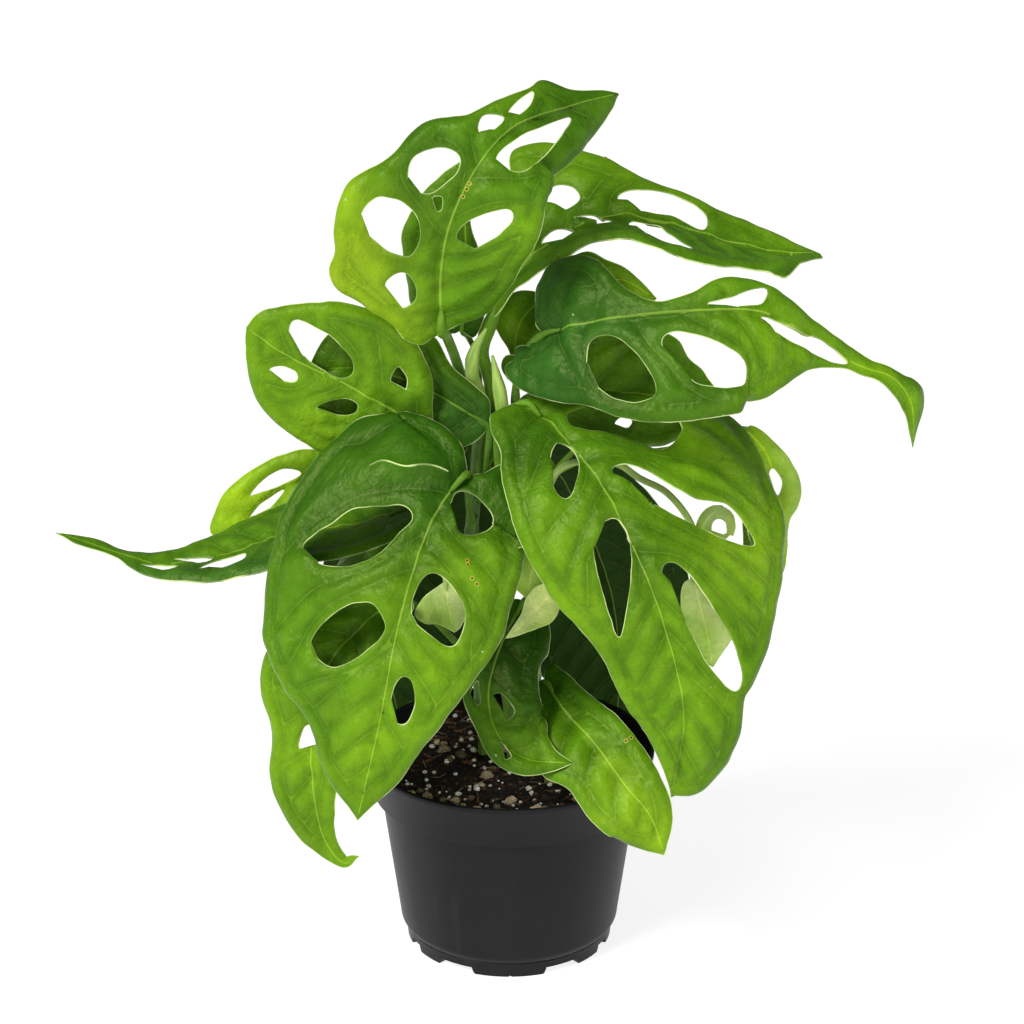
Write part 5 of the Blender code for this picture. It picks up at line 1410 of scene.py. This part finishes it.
def make_stem(name, seed, made):
    """A stem with rings where old leaves grew, pale and thin at its tip."""
    line = stem_line(name)
    height = line[:, 2]
    to_joint = (height + 7 * seed) % STEM_JOINTS - STEM_JOINTS / 2
    old = np.interp(height, STEM_OLD, [1, 0])
    radii = np.interp(height, [STEM_TOPS[name], height[-1]], [STEM_RADIUS, STEM_TIP_RADIUS])
    radii = radii + old * STEM_JOINT_RISE * bell(to_joint, STEM_JOINT_REACH)
    places, faces = tube(line, radii, STEM_SIDES)
    young = np.repeat(np.interp(height, STEM_YOUNG, [0, 1]), STEM_SIDES)[:, None]
    tint = (1 - young) * np.array(STALK_COLOUR) + young * np.array(COLOURS["pale"])
    ring = np.repeat(bell(to_joint, STEM_JOINT_LINE) * old, STEM_SIDES)[:, None]
    tint = tint * (1 - STEM_JOINT_TONE * ring)
    body = Body()
    body.add(places, faces, flat=round_pattern(line, STEM_SIDES, 20, 90.0 + seed), tint=tint)
    show(body.mesh(name + "_fine"), name + "_fine", made, SLOTS[name], name)


# Pot


def arc(centre, radius, start, end, steps):
    """Points of an arc in the turned profile, by angles in degrees from the outward direction."""
    return [
        (centre[0] + radius * math.cos(a), centre[1] + radius * math.sin(a))
        for a in np.radians(np.linspace(start, end, steps))
    ]


def pot_profile():
    """The pot's section from the middle of the floor up the inside, over the rim and down outside."""
    floor = FOOT_HEIGHT + WALL
    inner = [
        (0, floor),
        *arc((WALL_BOTTOM_RADIUS - WALL - FLOOR_ROUND, floor + FLOOR_ROUND), FLOOR_ROUND, -90, -8, 6),
        (WALL_TOP_RADIUS - WALL, BAND_BOTTOM + 1.2),
        (BAND_BOTTOM_RADIUS - WALL + 0.4, BAND_BOTTOM + 3.4),
        (RIM_RADIUS - RIM_WIDTH, POT_HEIGHT - 0.9),
    ]
    inside = (RIM_RADIUS - RIM_WIDTH + RIM_ROUND_INSIDE, POT_HEIGHT - RIM_ROUND_INSIDE)
    rim = arc(inside, RIM_ROUND_INSIDE, 170, 90, 5)
    rim += arc((RIM_RADIUS - RIM_ROUND, POT_HEIGHT - RIM_ROUND), RIM_ROUND, 90, 0, 6)
    rim += [(RIM_RADIUS, POT_HEIGHT - 2.2), (RIM_RADIUS - 0.35, POT_HEIGHT - 2.9)]
    band = [
        (BAND_BOTTOM_RADIUS + 0.35, BAND_BOTTOM + 1.1),
        *arc((BAND_BOTTOM_RADIUS - 0.3, BAND_BOTTOM + 0.5), 0.5, 0, -90, 5),
        (WALL_TOP_RADIUS + 0.9, BAND_BOTTOM),
        (WALL_TOP_RADIUS, BAND_BOTTOM - 0.8),
    ]
    low = [
        *arc((WALL_BOTTOM_RADIUS - 6, FOOT_HEIGHT + WALL_TURN), 7, 0, -52, 10),
        *arc((FOOT_RADIUS + 0.05, FOOT_HEIGHT + 0.3), 0.5, 60, -80, 7),
        (FOOT_RADIUS - 0.05, FOOT_HEIGHT - 0.7),
        *arc((FOOT_RADIUS - 1.1, FOOT_ROUND), FOOT_ROUND, 0, -90, 5),
        (FOOT_RADIUS - FOOT_DEPTH, 0),
        (FOOT_RADIUS - FOOT_DEPTH, FOOT_HEIGHT),
        (0, FOOT_HEIGHT),
    ]
    return inner + rim + band + low


def turned_mesh(name, profile, steps):
    """A closed mesh turned round the pot's axis, from a profile that starts and ends on it."""
    rings = [[(0, 0, profile[0][1])]]
    for r, z in profile[1:-1]:
        rings.append(np.column_stack([r * circle(steps), np.full(steps, z)]))
    rings.append([(0, 0, profile[-1][1])])
    faces = [(0, 1 + i, 1 + (i + 1) % steps) for i in range(steps)]
    faces += [(a, d, c, b) for a, b, c, d in ring_faces(len(profile) - 3, steps, 1)]
    last = 1 + (len(profile) - 2) * steps
    faces += [(last, last - steps + (i + 1) % steps, last - steps + i) for i in range(steps)]
    body = Body()
    body.add(np.vstack(rings), faces)
    return body.mesh(name)


def foot_gap(start, end):
    """Places and faces of the wedge cut away between two feet, wider at the bottom.

    Each height has six points on the inside and six on the outside.
    """
    places = []
    for z, spread in FOOT_SIDES:
        for r in (FOOT_RADIUS - 7, FOOT_RADIUS + 7):
            for a in np.radians(np.linspace(start - spread, end + spread, 6)):
                places.append((r * math.cos(a), r * math.sin(a), z))
    faces = []
    last = 12 * (len(FOOT_SIDES) - 1)
    for row in range(0, last, 12):
        faces.append((row, row + 6, row + 18, row + 12))
        faces.append((row + 5, row + 17, row + 23, row + 11))
        for i in range(row, row + 5):
            faces.append((i, i + 12, i + 13, i + 1))
            faces.append((i + 6, i + 7, i + 19, i + 18))
    for i in range(5):
        faces.append((i, i + 1, i + 7, i + 6))
        faces.append((last + i, last + i + 6, last + i + 7, last + i + 1))
    return places, faces


def pot_cutter():
    """What is cut from the turned pot: the gaps between the feet, a notch in one foot, the drain holes."""
    body = Body()
    for middle in (90, 270):
        for start, end in FOOT_GAPS:
            body.add(*foot_gap(middle + start, middle + end))
            body.add(*foot_gap(middle - end, middle - start))
    notch = [(0.6, -FOOT_RADIUS - 3, -0.2), (0.6, -FOOT_RADIUS + 3, -0.2)]
    body.add(*tube(np.array(notch), [1.0, 1.0], 16))
    for x, y in DRAIN_RING * circle(DRAIN_COUNT):
        drain = [(x, y, FOOT_HEIGHT - 2), (x, y, FOOT_HEIGHT + 4)]
        body.add(*tube(np.array(drain), [DRAIN_RADIUS] * 2, 24))
    return linked("pot_cutter", body.mesh("pot_cutter"))


def make_pot(made):
    cutter = pot_cutter()
    pot = linked("pot_uncut", turned_mesh("pot_uncut", pot_profile(), POT_STEPS))
    cut = pot.modifiers.new("feet", "BOOLEAN")
    cut.operation = "DIFFERENCE"
    cut.object = cutter
    cut.solver = "EXACT"
    graph = bpy.context.evaluated_depsgraph_get()
    mesh = bpy.data.meshes.new_from_object(pot.evaluated_get(graph))
    for obj in (cutter, pot):
        bpy.data.objects.remove(obj)
    mesh.name = "pot_fine"
    mesh.shade_smooth()
    mesh.set_sharp_from_angle(angle=math.radians(POT_SHARP_ANGLE))
    show(mesh, "pot_fine", made, "pot_plastic", "pot")


# Mix


def soil_height(x, y):
    reach = math.hypot(x, y)
    mound = SOIL_EDGE + SOIL_MOUND * (1 - (reach / BAND_BOTTOM_RADIUS) ** 2)
    rough = sum(height * noise.noise(Vector((x, y, 0)) / size) for height, size in SOIL_BUMPS)
    return mound + rough * min(1, (SOIL_CALM_FROM - reach) / SOIL_CALM)


def soil_bed(made):
    """The uneven top of the mix, with a skirt down to the pot's wall."""
    profile = [(BED_RADIUS * i / BED_RINGS, 0) for i in range(BED_RINGS + 1)]
    profile += [(BED_RADIUS - 0.5, -BED_SKIRT), (0, -BED_SKIRT)]
    mesh = turned_mesh("soil_bed", profile, BED_STEPS)
    for vertex in mesh.vertices:
        x, y, z = (vertex.co - SHIFT) / MM
        z = soil_height(x, y) if z > -BED_SKIRT / 2 else SOIL_EDGE + z
        vertex.co = SHIFT + Vector((x, y, z)) * MM
    mesh.flip_normals()
    mesh.shade_smooth()
    show(mesh, "soil_bed", made, "potting_mix", "soil")


def lump(draw, size, stretch, divisions, rough):
    """Places and faces of one uneven grain, turned at random."""
    bm = bmesh.new()
    bmesh.ops.create_icosphere(bm, subdivisions=divisions, radius=1)
    seed = draw.uniform(0, 90)
    for vertex in bm.verts:
        vertex.co *= 1 + rough * noise.noise(vertex.co * 1.7 + Vector((seed, 0, 0)))
        vertex.co = Vector([c * s for c, s in zip(vertex.co, stretch)])
    turn = draw.uniform(0, 2 * math.pi)
    tip = draw.uniform(-0.5, 0.5)
    spin = np.array([[math.cos(turn), -math.sin(turn), 0], [math.sin(turn), math.cos(turn), 0], [0, 0, 1]])
    lean = np.array([[1, 0, 0], [0, math.cos(tip), -math.sin(tip)], [0, math.sin(tip), math.cos(tip)]])
    places = np.array([v.co for v in bm.verts]) * size @ lean.T @ spin.T
    faces = [[v.index for v in face.verts] for face in bm.faces]
    bm.free()
    return places, faces


def somewhere(draw, reach):
    """A random place on a disc, as likely near its edge as at its middle."""
    distance = reach * math.sqrt(draw.random())
    turn = draw.uniform(0, 2 * math.pi)
    return distance * math.cos(turn), distance * math.sin(turn)


def scatter(name, made, seed, count, sizes, stretch, divisions, rough, sunk, smooth=True, spots=()):
    """Many grains of one kind, laid on the mix and joined in one piece."""
    draw = random.Random(seed)
    spots = list(spots)
    while len(spots) < count:
        spots.append(somewhere(draw, GRAIN_REACH))
    body = Body()
    for x, y in spots:
        size = draw.triangular(sizes[0], sizes[1], sizes[0])
        places, faces = lump(draw, size, stretch, divisions, rough)
        base = np.array([x, y, soil_height(x, y) + size * stretch[2] * (1 - 2 * sunk)])
        body.add(places + base, faces, grain=np.full(len(places), draw.random()))
    show(body.mesh(name, smooth), name, made, "potting_mix", "soil")


def soil_fibres(made):
    """Fine roots and fibres that lie on the mix."""
    draw = random.Random(SOIL_SEED + 4)
    body = Body()
    for _ in range(FIBRE_COUNT):
        x, y = somewhere(draw, FIBRE_REACH)
        heading = draw.uniform(0, 2 * math.pi)
        points = []
        for _ in range(FIBRE_POINTS):
            points.append((x, y, soil_height(x, y) + 0.3 + 0.5 * draw.random()))
            heading += draw.uniform(-0.8, 0.8)
            x += FIBRE_STEP * math.cos(heading)
            y += FIBRE_STEP * math.sin(heading)
        line = spaced(smooth_line(points, 4), 0.8)
        places, faces = tube(line, [draw.uniform(*FIBRE_RADII)] * len(line), 5)
        body.add(places, faces, grain=np.full(len(places), draw.random()))
    show(body.mesh("soil_fibres"), "soil_fibres", made, "potting_mix", "soil")


def make_soil():
    soil_bed(bed_material())
    kinds = {
        "perlite": grain_material("perlite", (0.62, 0.57, 0.46), (0.93, 0.91, 0.86), 0.8, 0.0004),
        "bark_bits": grain_material("bark", (0.035, 0.017, 0.008), (0.16, 0.07, 0.025), 0.85, 0.0003),
        "crumbs": grain_material("crumb", (0.1, 0.085, 0.035), (0.66, 0.52, 0.33), 0.85, 0.0006),
    }
    for seed, (name, made) in enumerate(kinds.items()):
        scatter(name, made, SOIL_SEED + seed, **GRAINS[name])
    soil_fibres(grain_material("fibre", (0.1, 0.06, 0.03), (0.35, 0.26, 0.15), 0.8, 0.0001))


# Stage


def add_camera():
    data = bpy.data.cameras.new("camera")
    data.lens = LENS
    data.sensor_width = SENSOR
    camera = linked("camera", data)
    tilt = math.radians(VIEW_ELEVATION)
    back = Vector((0, -math.cos(tilt), math.sin(tilt))) * VIEW_DISTANCE
    camera.location = SHIFT + (Vector(VIEW_TARGET) + back) * MM
    camera.rotation_euler = (math.pi / 2 - tilt, 0, 0)
    bpy.context.scene.camera = camera


def add_light(data, place):
    """A light that looks at the middle of the plant."""
    light = linked(data.name, data)
    light.location = place
    aim = Vector(LIGHT_AIM) - Vector(place)
    light.rotation_euler = aim.to_track_quat("-Z", "Y").to_euler()


def add_lights():
    """A broad soft sun for the even studio light, and three panels for the sheen."""
    sun = bpy.data.lights.new("sun", "SUN")
    sun.energy = SUN
    sun.angle = math.radians(SUN_ANGLE)
    add_light(sun, SUN_FROM)
    for name, place, size, watts in LIGHTS:
        panel = bpy.data.lights.new(name, "AREA")
        panel.size = size
        panel.energy = watts
        add_light(panel, place)


def add_stage():
    mesh = bpy.data.meshes.new("floor")
    corners = [(-1, -1), (1, -1), (1, 1), (-1, 1)]
    mesh.from_pydata([(FLOOR_SIZE * x, FLOOR_SIZE * y, 0) for x, y in corners], [], [(0, 1, 2, 3)])
    floor = linked("floor", mesh)
    mesh.materials.append(floor_material())
    world = bpy.data.worlds.new("studio")
    world.use_nodes = True
    world.node_tree.nodes["Background"].inputs["Color"].default_value = (1, 1, 1, 1)
    world.node_tree.nodes["Background"].inputs["Strength"].default_value = WORLD_LIGHT
    bpy.context.scene.world = world
    add_lights()
    bpy.context.scene.view_settings.view_transform = "Standard"


def main():
    add_camera()
    add_stage()
    make_pot(pot_material())
    make_soil()
    stem_green = stem_material()
    for seed, name in enumerate(STEMS):
        make_stem(name, seed, stem_green)
    leaf_green = leaf_material("leaf", LEAF_SHINE)
    dull_green = leaf_material("dull_leaf", DULL_SHINE)
    for seed, (name, leaf) in enumerate(LEAVES.items()):
        make_leaf(name, PLAIN | leaf, seed * 3.1, dull_green if "below" in leaf else leaf_green)


main()
